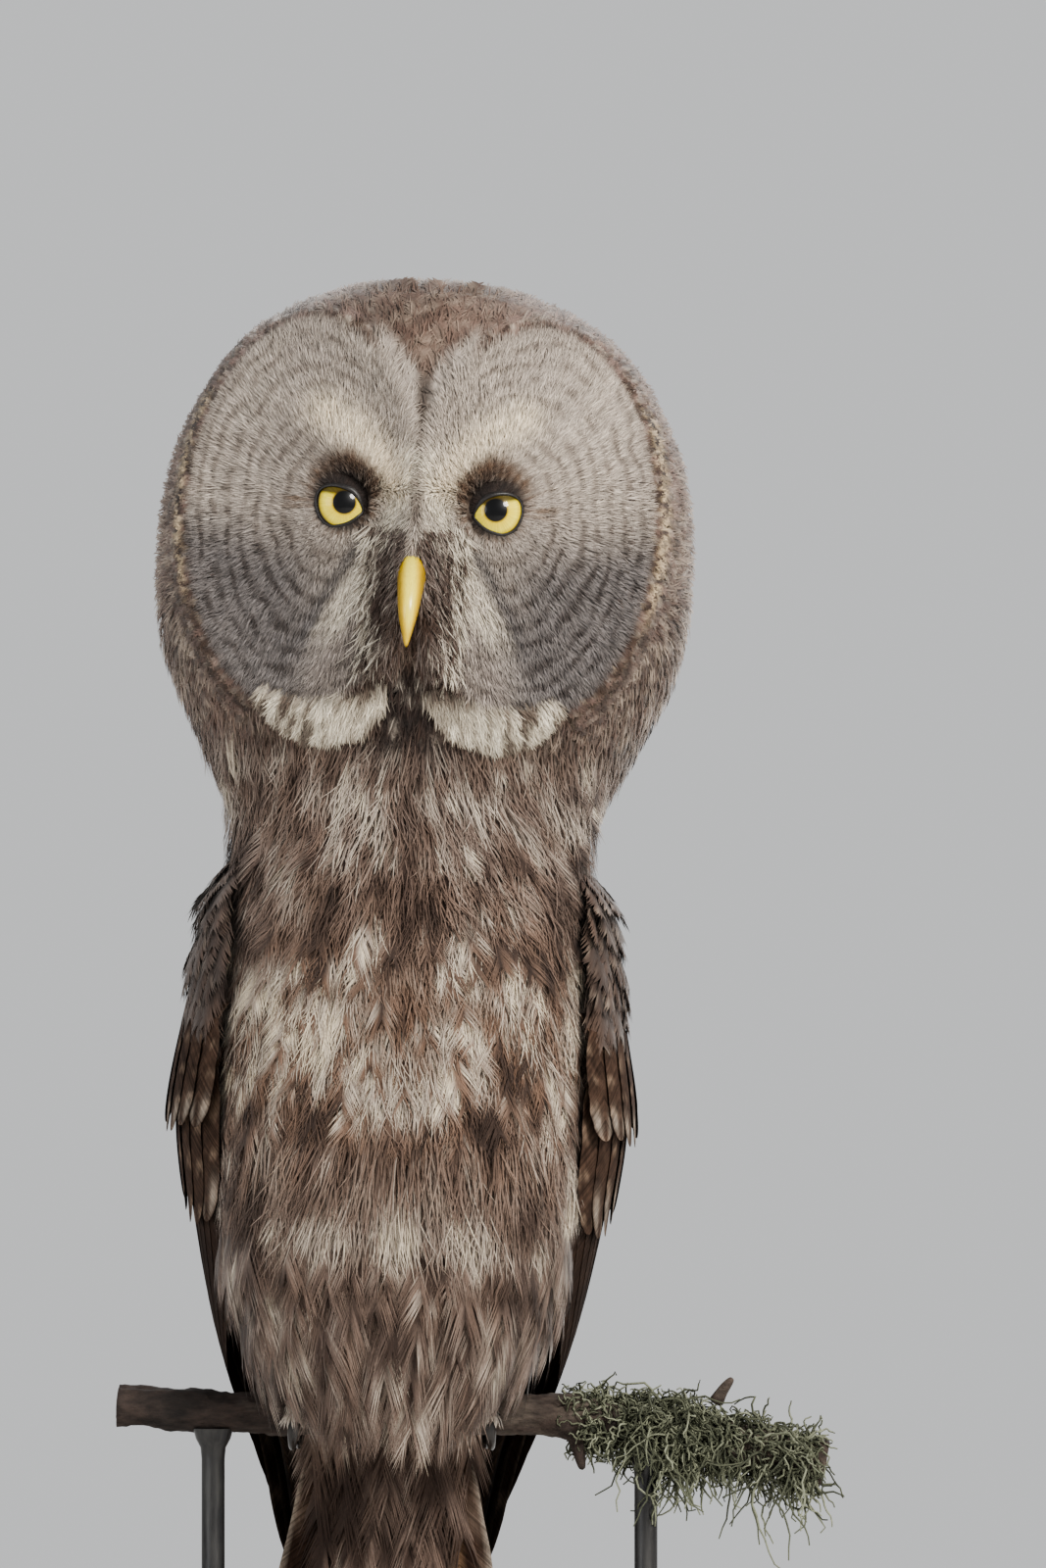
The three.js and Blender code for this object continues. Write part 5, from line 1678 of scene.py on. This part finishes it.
def tail_feathers(finish, soft_finish):
    """Twelve stacked feathers, arched across, and the coverts over and under their bases."""
    rng = np.random.default_rng(81)
    coat = Coat()
    index = np.repeat(np.arange(6), 2)
    side = np.tile([-1.0, 1.0], 6)
    tip = TAIL_TIP + 2.5 * index
    back = 3 - 1.5 * (index + (side > 0))

    def place(t, sideways, lift):
        z = TAIL_TOP + (tip[:, None, None] - TAIL_TOP) * t
        x = (side * (index + 0.5))[:, None, None] * mix(2.6, 6.2, t**0.45)
        arch = TAIL_ARCH * (x + sideways) ** 2
        y = tail_line(z) + back[:, None, None] - arch + 0.35 * lift
        return np.stack([x + sideways, y, z], axis=-1)

    vanes(coat, place, np.full(12, TAIL_HALF_WIDTH), tail_pattern, rng, stations=40, blunt=0.16, camber=0.03)
    piece = coat.make("tail_feathers", finish, "flight_feather")
    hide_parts("tail")
    tail_coverts(rng, soft_finish)


def tail_coverts(rng, finish):
    coat = Coat()
    for way, distance, rows in TAIL_COVERTS:
        pattern = skirt_pattern if way < 0 else back_pattern
        for z in rows:
            x = np.arange(-24, 25, 8.0) * (1 - 0.008 * (20 - z)) + rng.normal(0, 1, 7)
            y = tail_line(z) + distance - way * TAIL_ARCH * x**2
            at = np.stack([x, y, np.full_like(x, z)], axis=-1)
            normal = unit(np.stack([x * 0.02, np.full_like(x, way), np.zeros_like(x)], axis=-1))
            along = tangent(np.array([0, 0.15, -1.0]) + rng.normal(0, 0.05, at.shape), normal)
            length = 46 * rng.uniform(0.9, 1.1, 7)
            barbed_feathers(coat, at, normal, along, length, 17, (-4.0, 1.5), pattern, rng,
                            barbs=34, sag=0.0, sweep=0.7)
    coat.make("tail_coverts", finish, "plumage")


# Legs and feet


def leg_tufts(finish):
    """Short dense feathers over legs and toes, down to the claws."""
    rng = np.random.default_rng(91)
    coat = Coat()
    count = 2600
    for side in (-1, 1):
        z = rng.uniform(4, 40, count)
        angle = rng.uniform(-np.pi, np.pi, count)
        radius = np.interp(z, [4, 16, 30], [10.0, 12.0, 14.0])
        normal = np.stack([np.sin(angle), -np.cos(angle), np.zeros(count)], axis=-1)
        at = np.stack([side * LEG_X + radius * normal[:, 0], PERCH_Y + radius * normal[:, 1], z], axis=-1)
        along = tangent(np.array([0, 0, -1.0]) + rng.normal(0, 0.2, at.shape), normal)
        length = rng.uniform(5, 8.5, count)
        blades(coat, at, normal, along, length, 0.9, (-1.5, 1.0), leg_colour, rng, sag=0.0)
        for toe in TOES:
            toe_tufts(coat, side, toe, rng)
    return coat.make("leg_and_toe_tufts", finish, "plumage")


def toe_tufts(coat, side, toe, rng):
    """Tufts round a toe, left out where it grips the branch."""
    count = 900
    share = rng.random(count) ** 0.9
    turn = rng.uniform(-np.pi, np.pi, count)
    angle = toe["way"] * TOE_REACH * share * 0.94
    outward = np.stack([np.zeros(count), -np.sin(angle), np.cos(angle)], axis=-1)
    normal = outward * np.cos(turn)[:, None] + [1.0, 0, 0] * np.sin(turn)[:, None]
    centre = np.stack([
        toe_x(side, toe, share), PERCH_Y - TOE_PATH * np.sin(angle), TOE_PATH * np.cos(angle) - PERCH_RADIUS,
    ], axis=-1)
    at = leaned_back(centre + normal * 3.9)
    onward = np.stack([np.zeros(count), -np.cos(angle), -np.sin(angle)], axis=-1) * toe["way"]
    keep = np.cos(turn) > -0.55
    along = tangent(onward + rng.normal(0, 0.22, at.shape), normal)
    blades(coat, at[keep], normal[keep], along[keep], rng.uniform(3, 5.2, keep.sum()), 0.75, (-0.8, 1.0),
           leg_colour, rng, sag=0.004)


def leg_colour(points):
    bars = smooth(noise(points * [1, 1, 1.5], 3.2, 91), 0.5, 0.75)
    return tinted(tinted(PALE, GREY, noise(points, 5, 92)), BROWN, 0.6 * bars)


TOE_REACH = math.radians(98)
TOE_PATH = PERCH_RADIUS + 5.4
TOES = [
    {"name": "inner_front", "way": 1, "x": -5, "spread": -6},
    {"name": "outer_front", "way": 1, "x": 5, "spread": 7},
    {"name": "inner_back", "way": -1, "x": -4, "spread": -5},
    {"name": "outer_back", "way": -1, "x": 4, "spread": 6},
]


def leaned_back(points):
    """Straight-owl place of upright points given over the perch's top."""
    x, y, z = np.moveaxis(points, -1, 0)
    x, z = rotated(x, z, LEAN)
    return np.stack([x, y, z], axis=-1)


# Solids swept ring by ring


def face_outwards(piece):
    """Turns every face of a closed piece outwards."""
    activate(piece)
    bpy.ops.object.mode_set(mode="EDIT")
    bpy.ops.mesh.select_all(action="SELECT")
    bpy.ops.mesh.normals_make_consistent(inside=False)
    bpy.ops.object.mode_set(mode="OBJECT")


def swept(name, centres, radii, sides, finish, slot, *replaced, across=(1, 0, 0)):
    """Closed tapered bar: a circle extruded from ring to ring along its centres, in metres."""
    deselect_all()
    bpy.ops.mesh.primitive_circle_add(vertices=sides, radius=1.0, fill_type="NGON")
    piece = bpy.context.object
    piece.name = name
    bpy.ops.object.mode_set(mode="EDIT")
    bpy.ops.mesh.select_all(action="SELECT")
    edit = bmesh.from_edit_mesh(piece.data)
    across = Vector(across).normalized()
    unit_ring = [vert.co.copy() for vert in edit.verts]
    last = len(centres) - 1
    for i, centre in enumerate(centres):
        ahead = (Vector(centres[min(i + 1, last)]) - Vector(centres[max(i - 1, 0)])).normalized()
        up = ahead.cross(across).normalized()
        wide = up.cross(ahead).normalized()
        if i:
            bpy.ops.mesh.extrude_region()
            edit = bmesh.from_edit_mesh(piece.data)
        ring = [vert for vert in edit.verts if vert.select]
        half_width, half_height = radii[i]
        for vert, corner in zip(ring, unit_ring):
            vert.co = Vector(centre) + wide * corner.x * half_width + up * corner.y * half_height
        bmesh.update_edit_mesh(piece.data)
    bpy.ops.object.mode_set(mode="OBJECT")
    face_outwards(piece)
    rounding = piece.modifiers.new("rounding", "SUBSURF")
    rounding.levels = rounding.render_levels = 1
    bpy.ops.object.modifier_apply(modifier="rounding")
    bpy.ops.object.shade_smooth()
    declare(piece, finish, slot, *replaced)
    return piece


def catmull_rom(a, b, c, d, t):
    """Point between `b` and `c` on a smooth curve through four points."""
    return 0.5 * (2 * b + (c - a) * t + (2 * a - 5 * b + 4 * c - d) * t**2 + (3 * b - a - 3 * c + d) * t**3)


def spline(points, count):
    """Smooth curve through points, evenly stepped in its parameter."""
    points = np.array(points, float)
    padded = np.vstack([2 * points[0] - points[1], points, 2 * points[-1] - points[-2]])
    at = np.linspace(0, len(points) - 1 - 1e-9, count)
    i = at.astype(int)
    t = (at - i)[:, None]
    return catmull_rom(*(padded[i + k] for k in range(4)), t)


def closed_line(points, count):
    """Closed smooth line through points."""
    points = np.array(points, float)
    total = len(points)
    at = np.arange(count) * total / count
    i = at.astype(int)
    t = (at - i)[:, None]
    return catmull_rom(*(points[(i + k - 1) % total] for k in range(4)), t)


BILL_RIDGE = [(0, -54, 287), (0, -68, 285), (0, -79, 279), (0, -86, 269), (0, -86.3, 257.5)]
UPPER_BILL_SIZES = [(5.8, 7.0), (5.4, 6.8), (4.6, 6.0), (3.4, 4.4), (0.5, 0.6)]
BILL_KEEL = [(0, -54, 273), (0, -67, 272), (0, -75, 268.5), (0, -79.5, 265.5)]
LOWER_BILL_SIZES = [(4.8, 4.8), (4.0, 3.8), (2.4, 2.4), (0.5, 0.5)]


def bill(finish):
    """Hooked upper bill with its ridge, and the lower bill under it."""
    for name, node_name, line, sizes, rings, sides in [
        ("upper_bill", "bill_upper", BILL_RIDGE, UPPER_BILL_SIZES, 13, 20),
        ("lower_bill", "bill_lower", BILL_KEEL, LOWER_BILL_SIZES, 9, 16),
    ]:
        radii = spline(sizes, rings) * MM
        piece = swept(name, posed(spline(line, rings)), radii, sides, finish, "bill", node_name)
        paint_bill_light_and_shade(piece)


RIDGE_HALF_WIDTH = 0.0042


def paint_bill_light_and_shade(piece):
    """Attribute that rises from the bill's sides to its ridge where the surface faces forward and up, for the
    material's painted highlight and shade.
    """
    normals = np.array([vert.normal for vert in piece.data.vertices])
    x = np.array([vert.co.x for vert in piece.data.vertices])
    near = np.clip(1 - np.abs(x - x.mean()) / RIDGE_HALF_WIDTH, 0, 1)
    # Painted highlight where the bill faces forward and up near its middle, painted shade elsewhere.
    share = near * np.clip(-normals[:, 1] + normals[:, 2], 0, 1)
    add_point_data(piece.data, "ridge", np.clip(0.15 + share, 0, 1))


def claws(finish):
    """Curved claws that end each toe and reach round the branch."""
    share = np.linspace(0, 1, 9)
    reach = PERCH_RADIUS + 4.6 + 2.6 * np.sin(np.pi * share) - 1.5 * share
    radius = np.interp(share, [0, 0.25, 0.6, 0.9, 1], [2.7, 2.5, 1.8, 0.9, 0.25]) * MM
    for side in (1, -1):
        for toe in TOES:
            angle = mix(toe["way"] * (TOE_REACH - 0.12), toe["way"] * math.radians(172), share)
            x = side * (LEG_X + toe["x"] + toe["spread"] * (1 + 0.1 * share))
            z = PERCH_TOP - PERCH_RADIUS + reach * np.cos(angle)
            centres = np.stack([x, PERCH_Y - reach * np.sin(angle), z], axis=-1) * MM
            claw = f"claw_{word_of(side)}_{toe['name']}"
            swept(f"{claw}_horn", centres, [(r * 0.85, r) for r in radius], 12, finish, "claw", claw)


# Eyes


# Place of the left iris's centre from its eyeball's, in metres
IRIS_OFFSET = (-0.0004, 0, 0.0006)


def eye(side):
    """Eyeball of one side with its own iris."""
    word = word_of(side)
    centre = posed(np.array([[side * EYE.x, EYE.y, EYE.z]]))[0]
    deselect_all()
    bpy.ops.mesh.primitive_uv_sphere_add(segments=64, ring_count=40, radius=EYE_RADIUS * MM, location=centre,
                                         rotation=(math.pi / 2, 0, 0))
    piece = bpy.context.object
    piece.name = f"eyeball_{word}"
    bpy.ops.object.transform_apply(location=True, rotation=True, scale=True)
    bpy.ops.object.shade_smooth()
    iris = iris_material(f"yellow_iris_{word}", centre + np.multiply(IRIS_OFFSET, [side, 1, 1]), side)
    declare(piece, iris, "iris", f"eye_{word}")


# Share of the way from the opening to the lid's outer edge, and height over the eyeball
LID_ROWS = [
    (0.06, -1.0), (0.0, 0.05), (0.05, 0.5), (0.18, 0.65), (0.36, 0.40), (0.62, 0.15), (1.0, 0.2), (0.6, -2.5),
]
LID_REACH = 12.8
LID_LINE = [
    (-7.0, -1.8), (-5.6, 1.2), (-3.4, 3.7), (-0.2, 5.2), (3.6, 5.8), (6.7, 5.0), (8.5, 2.7), (8.6, -1.0),
    (6.6, -5.4), (3.2, -7.2), (-0.2, -6.7), (-2.9, -5.6), (-5.4, -3.7),
]


def eyelids(side, finish):
    """Black lids: a soft rim on the eyeball that runs out under the feathers."""
    line = closed_line(LID_LINE, 72)
    size = np.hypot(*line.T)
    out = line / size[:, None]
    rows = []
    for share, height in LID_ROWS:
        flat = out * mix(size, LID_REACH, share)[:, None]
        depth = np.sqrt(np.clip(EYE_RADIUS**2 - (flat**2).sum(1), 6.0, None))
        y = EYE.y - depth - height * (1 + 0.5 * smooth(flat[:, 1], 0, 6) * (share < 0.6))
        rows.append(np.stack([side * (EYE.x + flat[:, 0]), y, EYE.z + flat[:, 1]], axis=-1))
    points = np.concatenate(rows)
    faces = grid_quads(len(rows) + 1, len(line)) % len(points)
    piece = new_piece(f"eyelids_{word_of(side)}", posed(points), faces, finish, "face")
    face_outwards(piece)


def eye_fringe(finish):
    """Short bristly feathers that ring each eye and run out over the lids."""
    rng = np.random.default_rng(57)
    coat = Coat()
    line = closed_line(LID_LINE, 72)
    turns = np.arctan2(line[:, 1], line[:, 0])
    order = np.argsort(turns)
    count = 3000
    for side in (-1, 1):
        turn = rng.uniform(-np.pi, np.pi, count)
        opening = np.interp(turn, turns[order], np.hypot(*line[order].T), period=2 * np.pi)
        reach = opening + rng.uniform(0.5, 3.2, count)
        out = np.stack([side * np.cos(turn), 0 * turn, np.sin(turn)], axis=-1)
        depth = np.sqrt(np.clip(EYE_RADIUS**2 - reach**2, 8.0, None))
        at = np.stack([
            side * EYE.x + reach * out[:, 0], EYE.y - depth - 0.1, EYE.z + reach * out[:, 2],
        ], axis=-1)
        normal = unit(out * 0.45 + [0, -1, 0])
        along = tangent(out + [0, -0.5, 0.0] + rng.normal(0, 0.16, at.shape), normal)
        length = rng.uniform(2.8, 5.4, count)
        blades(coat, at, normal, along, length, 0.42, (0.1, 0.7), fringe_colour, rng,
               sag=0.01, streaky=0.4, vary=0.6, root_shade=0.7)
    return coat.make("eye_fringe", finish, "face")


def fringe_colour(points):
    colour = head_colour(points)
    du, dz = np.abs(points[:, 0]) - EYE.x, points[:, 2] - EYE.z
    near = 1 - smooth(np.hypot(du, dz), 8.6, 10.0 + 3.2 * smooth(dz, -3, 5))
    return tinted(colour, tinted(SOOT, UMBER, 0.5 * noise(points, 1.2, 19)), 0.92 * near)


# Branch, lichen and stand

PERCH_LINE = [
    (-95, -1, 3), (-50, -4, 0.3), (-20, -4, 0), (20, -4, 0), (55, -4, -0.6), (95, -2, -6), (150, 1, -17),
]
# Place, width and share of the branch's knots
KNOTS = [(62, 6, 1.0), (118, 7, 1.0), (-66, 6, 0.7)]
# Start over the perch's top, direction, length and thickness of its stubs
STUBS = [((63, -6, -12), (0.25, -0.2, -1), 13, 2.6), ((112, -4, -2), (0.5, -0.3, 0.8), 12, 2.2)]


def perch(finish):
    """Cut length of branch with scaly bark, knots and two short stubs."""
    count, around = 150, 44
    line = spline(PERCH_LINE, count) + [0, 0, PERCH_TOP - PERCH_RADIUS]
    ahead = unit(np.gradient(line, axis=0))
    up = unit(np.array([0, 0, 1.0]) - ahead * ahead[:, 2:])
    wide = np.cross(ahead, up)
    turn = np.linspace(0, 2 * np.pi, around + 1)[:-1]
    radius = PERCH_RADIUS + np.clip(line[:, 0] - 40, 0, None) * 0.009 - 0.5
    ring = wide[:, None] * np.cos(turn)[None, :, None] + up[:, None] * np.sin(turn)[None, :, None]
    flat = (line[:, None] + ring * radius[:, None, None]).reshape(-1, 3)
    x = flat[:, 0]
    scales = noise(flat * [0.35, 1, 1], 3.4, 101) - 0.5
    flakes = noise(flat * [0.6, 1, 1], 1.5, 102) - 0.5
    relief = 1.9 * scales + 1.3 * flakes
    knots = 2.2 * sum(share * hill(x, place, width) for place, width, share in KNOTS)
    calm = smooth(np.abs(x), 34, 46)
    raised = relief * mix(0.55, 1.0, calm) + knots * calm * noise(flat, 12, 103)
    flat = flat + ring.reshape(-1, 3) * raised[:, None]
    piece = new_piece("branch", flat * MM, grid_quads(count, around), finish, "bark")
    activate(piece)
    bpy.ops.object.mode_set(mode="EDIT")
    bpy.ops.mesh.select_all(action="DESELECT")
    bpy.ops.mesh.select_non_manifold()
    bpy.ops.mesh.edge_face_add()
    bpy.ops.object.mode_set(mode="OBJECT")
    face_outwards(piece)
    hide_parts("perch")
    for number, (start, lean, length, thick) in enumerate(STUBS, 1):
        direction = np.array(lean) / np.linalg.norm(lean)
        base = np.array(start) + [0, 0, PERCH_TOP - 2.0]
        centres = []
        for t in np.linspace(0, 1, 6):
            centres.append((base + direction * length * t + [0, 0, 0.6 * math.sin(4 * t)]) * MM)
        sizes = [(thick * k * MM, thick * k * MM) for k in (1.5, 1.1, 0.95, 0.85, 0.7, 0.45)]
        swept(f"branch_stub_{number}", centres, sizes, 10, finish, "bark", across=(0, 1, 0))


# Place along the branch of the lichen's clumps and their share of its threads
CLUMPS = [
    (70, 0.10), (82, 0.14), (90, 0.15), (99, 0.16), (106, 0.12), (114, 0.09), (124, 0.08), (136, 0.08),
    (145, 0.08),
]


def lichen(finish):
    """Beard lichen: bushy curled threads along the branch, some hanging below it."""
    rng = np.random.default_rng(111)
    line = spline(PERCH_LINE, 200)
    count, steps = 1900, 9
    places, shares = zip(*CLUMPS)
    x = np.clip(rng.choice(places, count, p=shares) + rng.normal(0, 4.5, count), 60, 147)
    z = np.interp(x, line[:, 0], line[:, 2]) + PERCH_TOP - PERCH_RADIUS
    turn = rng.uniform(-np.pi, np.pi, count)
    start = np.stack([x, -3 + 7.5 * np.sin(turn), z + 7.5 * np.cos(turn)], axis=-1)
    outward = np.stack([rng.normal(0, 0.5, count), np.sin(turn), np.cos(turn)], axis=-1)
    hanging = (rng.random(count) < 0.42) & (x > 74)
    drop = mix(0.5, 1, smooth(x, 74, 96))
    drop = drop * (0.45 + 0.9 * noise(np.stack([x, 0 * x, 0 * x], axis=-1), 7, 112))
    long = np.where(hanging, rng.uniform(1.0, 4.4, count) * drop, rng.uniform(0.9, 1.6, count))
    direction = unit(outward)
    path = [start]
    for _ in range(steps):
        pull = np.where(hanging, 0.45, 0.08)[:, None] * np.array([0, 0, -1.0])
        direction = unit(direction + pull + rng.normal(0, 0.6, (count, 3)))
        path.append(path[-1] + direction * long[:, None])
    path = np.stack(path, axis=1)
    ahead = unit(np.gradient(path, axis=1))
    side = unit(np.cross(ahead, np.array([0.3, 0.8, 0.5])))
    other = np.cross(ahead, side)
    thick = 0.58 * (1 - 0.55 * np.linspace(0, 1, steps + 1))[None, :, None]
    corners = [path + (a * side + b * other) * thick for a, b in ((1, 0), (-0.5, 0.87), (-0.5, -0.87))]
    points = np.stack(corners, axis=2).reshape(-1, 3)
    per = (steps + 1) * 3
    every = (np.arange(count)[:, None, None] * per + grid_quads(steps + 1, 3)).reshape(-1, 4)
    piece = new_piece("beard_lichen", points * MM, every, finish, "bark")
    add_point_data(piece.data, "chance", np.repeat(rng.random(count), per))
    return piece


def select_in_edit_mode(piece, kind, wanted):
    """Selects the faces or the edges for which `wanted` holds, and stays in edit mode."""
    activate(piece)
    bpy.ops.object.mode_set(mode="EDIT")
    bpy.ops.mesh.select_mode(type=kind)
    bpy.ops.mesh.select_all(action="DESELECT")
    edit = bmesh.from_edit_mesh(piece.data)
    for part in edit.edges if kind == "EDGE" else edit.faces:
        part.select = wanted(part)
    edit.select_flush_mode()
    bmesh.update_edit_mesh(piece.data)


BASE_SIZE = (0.240, 0.190, 0.016)
BASE_CORNER = 0.022
RIM_WIDTH, RIM_DROP = 0.0045, 0.0035


def stand_base(finish):
    """Wooden plate with rounded corners and a sloping, softened upper edge."""
    height = BASE_SIZE[2]
    deselect_all()
    bpy.ops.mesh.primitive_cube_add(size=1, location=(0, 0, height / 2))
    piece = bpy.context.object
    piece.name = "wooden_base"
    piece.dimensions = BASE_SIZE
    bpy.ops.object.transform_apply(location=True, rotation=True, scale=True)
    select_in_edit_mode(piece, "EDGE", lambda edge: abs(edge.verts[0].co.z - edge.verts[1].co.z) > 0.01)
    bpy.ops.mesh.bevel(offset=BASE_CORNER, segments=12, affect="EDGES")
    bpy.ops.object.mode_set(mode="OBJECT")
    select_in_edit_mode(piece, "FACE", lambda face: face.normal.z > 0.9)
    bpy.ops.mesh.inset(thickness=RIM_WIDTH, depth=0)
    bpy.ops.object.mode_set(mode="OBJECT")
    plateau = max(piece.data.polygons, key=lambda face: face.area * face.normal.z)
    inner = set(plateau.vertices)
    for vert in piece.data.vertices:
        if vert.co.z > height - 1e-5 and vert.index not in inner:
            vert.co.z -= RIM_DROP
    softening = piece.modifiers.new("softened_edges", "BEVEL")
    softening.width = 0.0012
    softening.segments = 3
    softening.limit_method = "ANGLE"
    softening.angle_limit = math.radians(25)
    activate(piece)
    bpy.ops.object.modifier_apply(modifier="softened_edges")
    bpy.ops.object.shade_smooth_by_angle(angle=math.radians(30))
    declare(piece, finish, "base_wood", "stand_base")


def stand_rods(finish):
    """Steel rods with a collar where they enter the base and a cup under the branch."""
    for word, x in (("left", 88.0), ("right", -62.0)):
        y = PERCH_Y + x / 60
        line = float(np.interp(x, [p[0] for p in PERCH_LINE], [p[2] for p in PERCH_LINE]))
        under = line + PERCH_TOP - 2 * PERCH_RADIUS
        profile = [
            (8, 4.0), (16.2, 4.0), (16.2, 7.5), (17.4, 8.0), (19.6, 7.6), (21.2, 5.0), (22.5, 4.0),
            (under - 9, 4.0), (under - 5, 4.4), (under - 2, 6.0), (under + 1.6, 7.0),
        ]
        deselect_all()
        bpy.ops.mesh.primitive_circle_add(vertices=40, radius=profile[0][1] * MM, fill_type="NGON",
                                          location=(x * MM, y * MM, profile[0][0] * MM))
        piece = bpy.context.object
        piece.name = f"stand_post_{word}"
        bpy.ops.object.mode_set(mode="EDIT")
        bpy.ops.mesh.select_all(action="SELECT")
        for (low, thin), (high, thick) in zip(profile, profile[1:]):
            bpy.ops.mesh.extrude_region_move(TRANSFORM_OT_translate={"value": (0, 0, (high - low) * MM)})
            growth = (thick / thin, thick / thin, 1)
            bpy.ops.transform.resize(value=growth, center_override=(x * MM, y * MM, high * MM))
        bpy.ops.object.mode_set(mode="OBJECT")
        face_outwards(piece)
        bpy.ops.object.transform_apply(location=True, rotation=True, scale=True)
        bpy.ops.object.shade_smooth_by_angle(angle=math.radians(40))
        declare(piece, finish, "rod", f"stand_rod_{word}")


# Stage, lights and camera


def make_floor():
    deselect_all()
    bpy.ops.mesh.primitive_circle_add(vertices=96, radius=3.0, fill_type="NGON", location=(0, 0, 0))
    floor = bpy.context.object
    floor.name = "floor"
    floor.data.materials.append(floor_material())


def make_light(name, place, target, size, power, colour=(1, 1, 1)):
    data = bpy.data.lights.new(name, "AREA")
    data.shape = "DISK"
    data.size = size
    data.energy = power
    data.color = colour
    light = bpy.data.objects.new(name, data)
    light.location = place
    light.rotation_euler = (Vector(target) - Vector(place)).to_track_quat("-Z", "Y").to_euler()
    bpy.context.scene.collection.objects.link(light)


def make_lights():
    make_light("key_softbox", (1.5, -2.2, 1.9), (0, 0, 0.5), 0.9, 105, (1.0, 0.97, 0.93))
    make_light("fill_softbox", (-2.2, -1.8, 1.0), (0, 0, 0.45), 1.6, 22, (0.93, 0.96, 1.0))
    make_light("rim_softbox", (0.8, 2.4, 1.8), (0, 0, 0.5), 1.2, 45)
    world = bpy.data.worlds.new("soft_studio")
    world.use_nodes = True
    background = world.node_tree.nodes["Background"]
    background.inputs["Color"].default_value = (0.86, 0.87, 0.88, 1)
    background.inputs["Strength"].default_value = 0.66
    bpy.context.scene.world = world


def make_camera():
    """Level long lens at the photograph's angle: 544 mm tall frame at 6 m."""
    data = bpy.data.cameras.new("camera")
    data.sensor_width = 36
    data.lens = 397
    data.clip_end = 60
    camera = bpy.data.objects.new("camera", data)
    camera.location = (0.0454, -6.0, 0.491)
    camera.rotation_euler = (math.pi / 2, 0, 0)
    bpy.context.scene.collection.objects.link(camera)
    bpy.context.scene.camera = camera


def set_look():
    """A little more contrast than Blender's plain view, as in a studio picture."""
    view = bpy.context.scene.view_settings
    view.view_transform = "AgX"
    view.look = "AgX - Medium High Contrast"


set_look()
make_camera()
make_floor()
make_lights()

SKIN_FINISH = plumage_material("down_under_the_feathers", 0.95, 0.1, 900, ringed=True)
FACE_FINISH = plumage_material("face_plumage", ringed=True)
BODY_FINISH = plumage_material("body_plumage")
FLIGHT_FINISH = plumage_material("flight_feather_vanes", 0.8, 0.0, 1400, vaned=True)

skin_piece(SKIN_FINISH)
for way in (-1, 1):
    disc_feathers(way, FACE_FINISH)
    ruff_feathers(way, FACE_FINISH)
    eye(way)
    wing_coat(way, BODY_FINISH, FLIGHT_FINISH)
LID_FINISH = lid_material()
for way in (-1, 1):
    eyelids(way, LID_FINISH)
tie_feathers(FACE_FINISH)
eye_fringe(FACE_FINISH)
bill_bristles(FACE_FINISH)
head_feathers("crown_feathers", -90, 12, 31, FACE_FINISH)
head_feathers("nape_feathers", 12, 90, 32, FACE_FINISH)
body_feathers("breast_feathers", -BREAST_EDGE, BREAST_EDGE, 41, BODY_FINISH, breast_pattern, 44)
body_feathers("back_feathers", BREAST_EDGE, 2 * math.pi - BREAST_EDGE, 42, BODY_FINISH, back_pattern, 26)
loose_down(BODY_FINISH)
skirt_feathers(BODY_FINISH)
tail_feathers(FLIGHT_FINISH, BODY_FINISH)
leg_tufts(BODY_FINISH)
bill(bill_material())
claws(claw_material())
perch(bark_material())
lichen(lichen_material())
stand_base(wood_material())
stand_rods(rod_material())
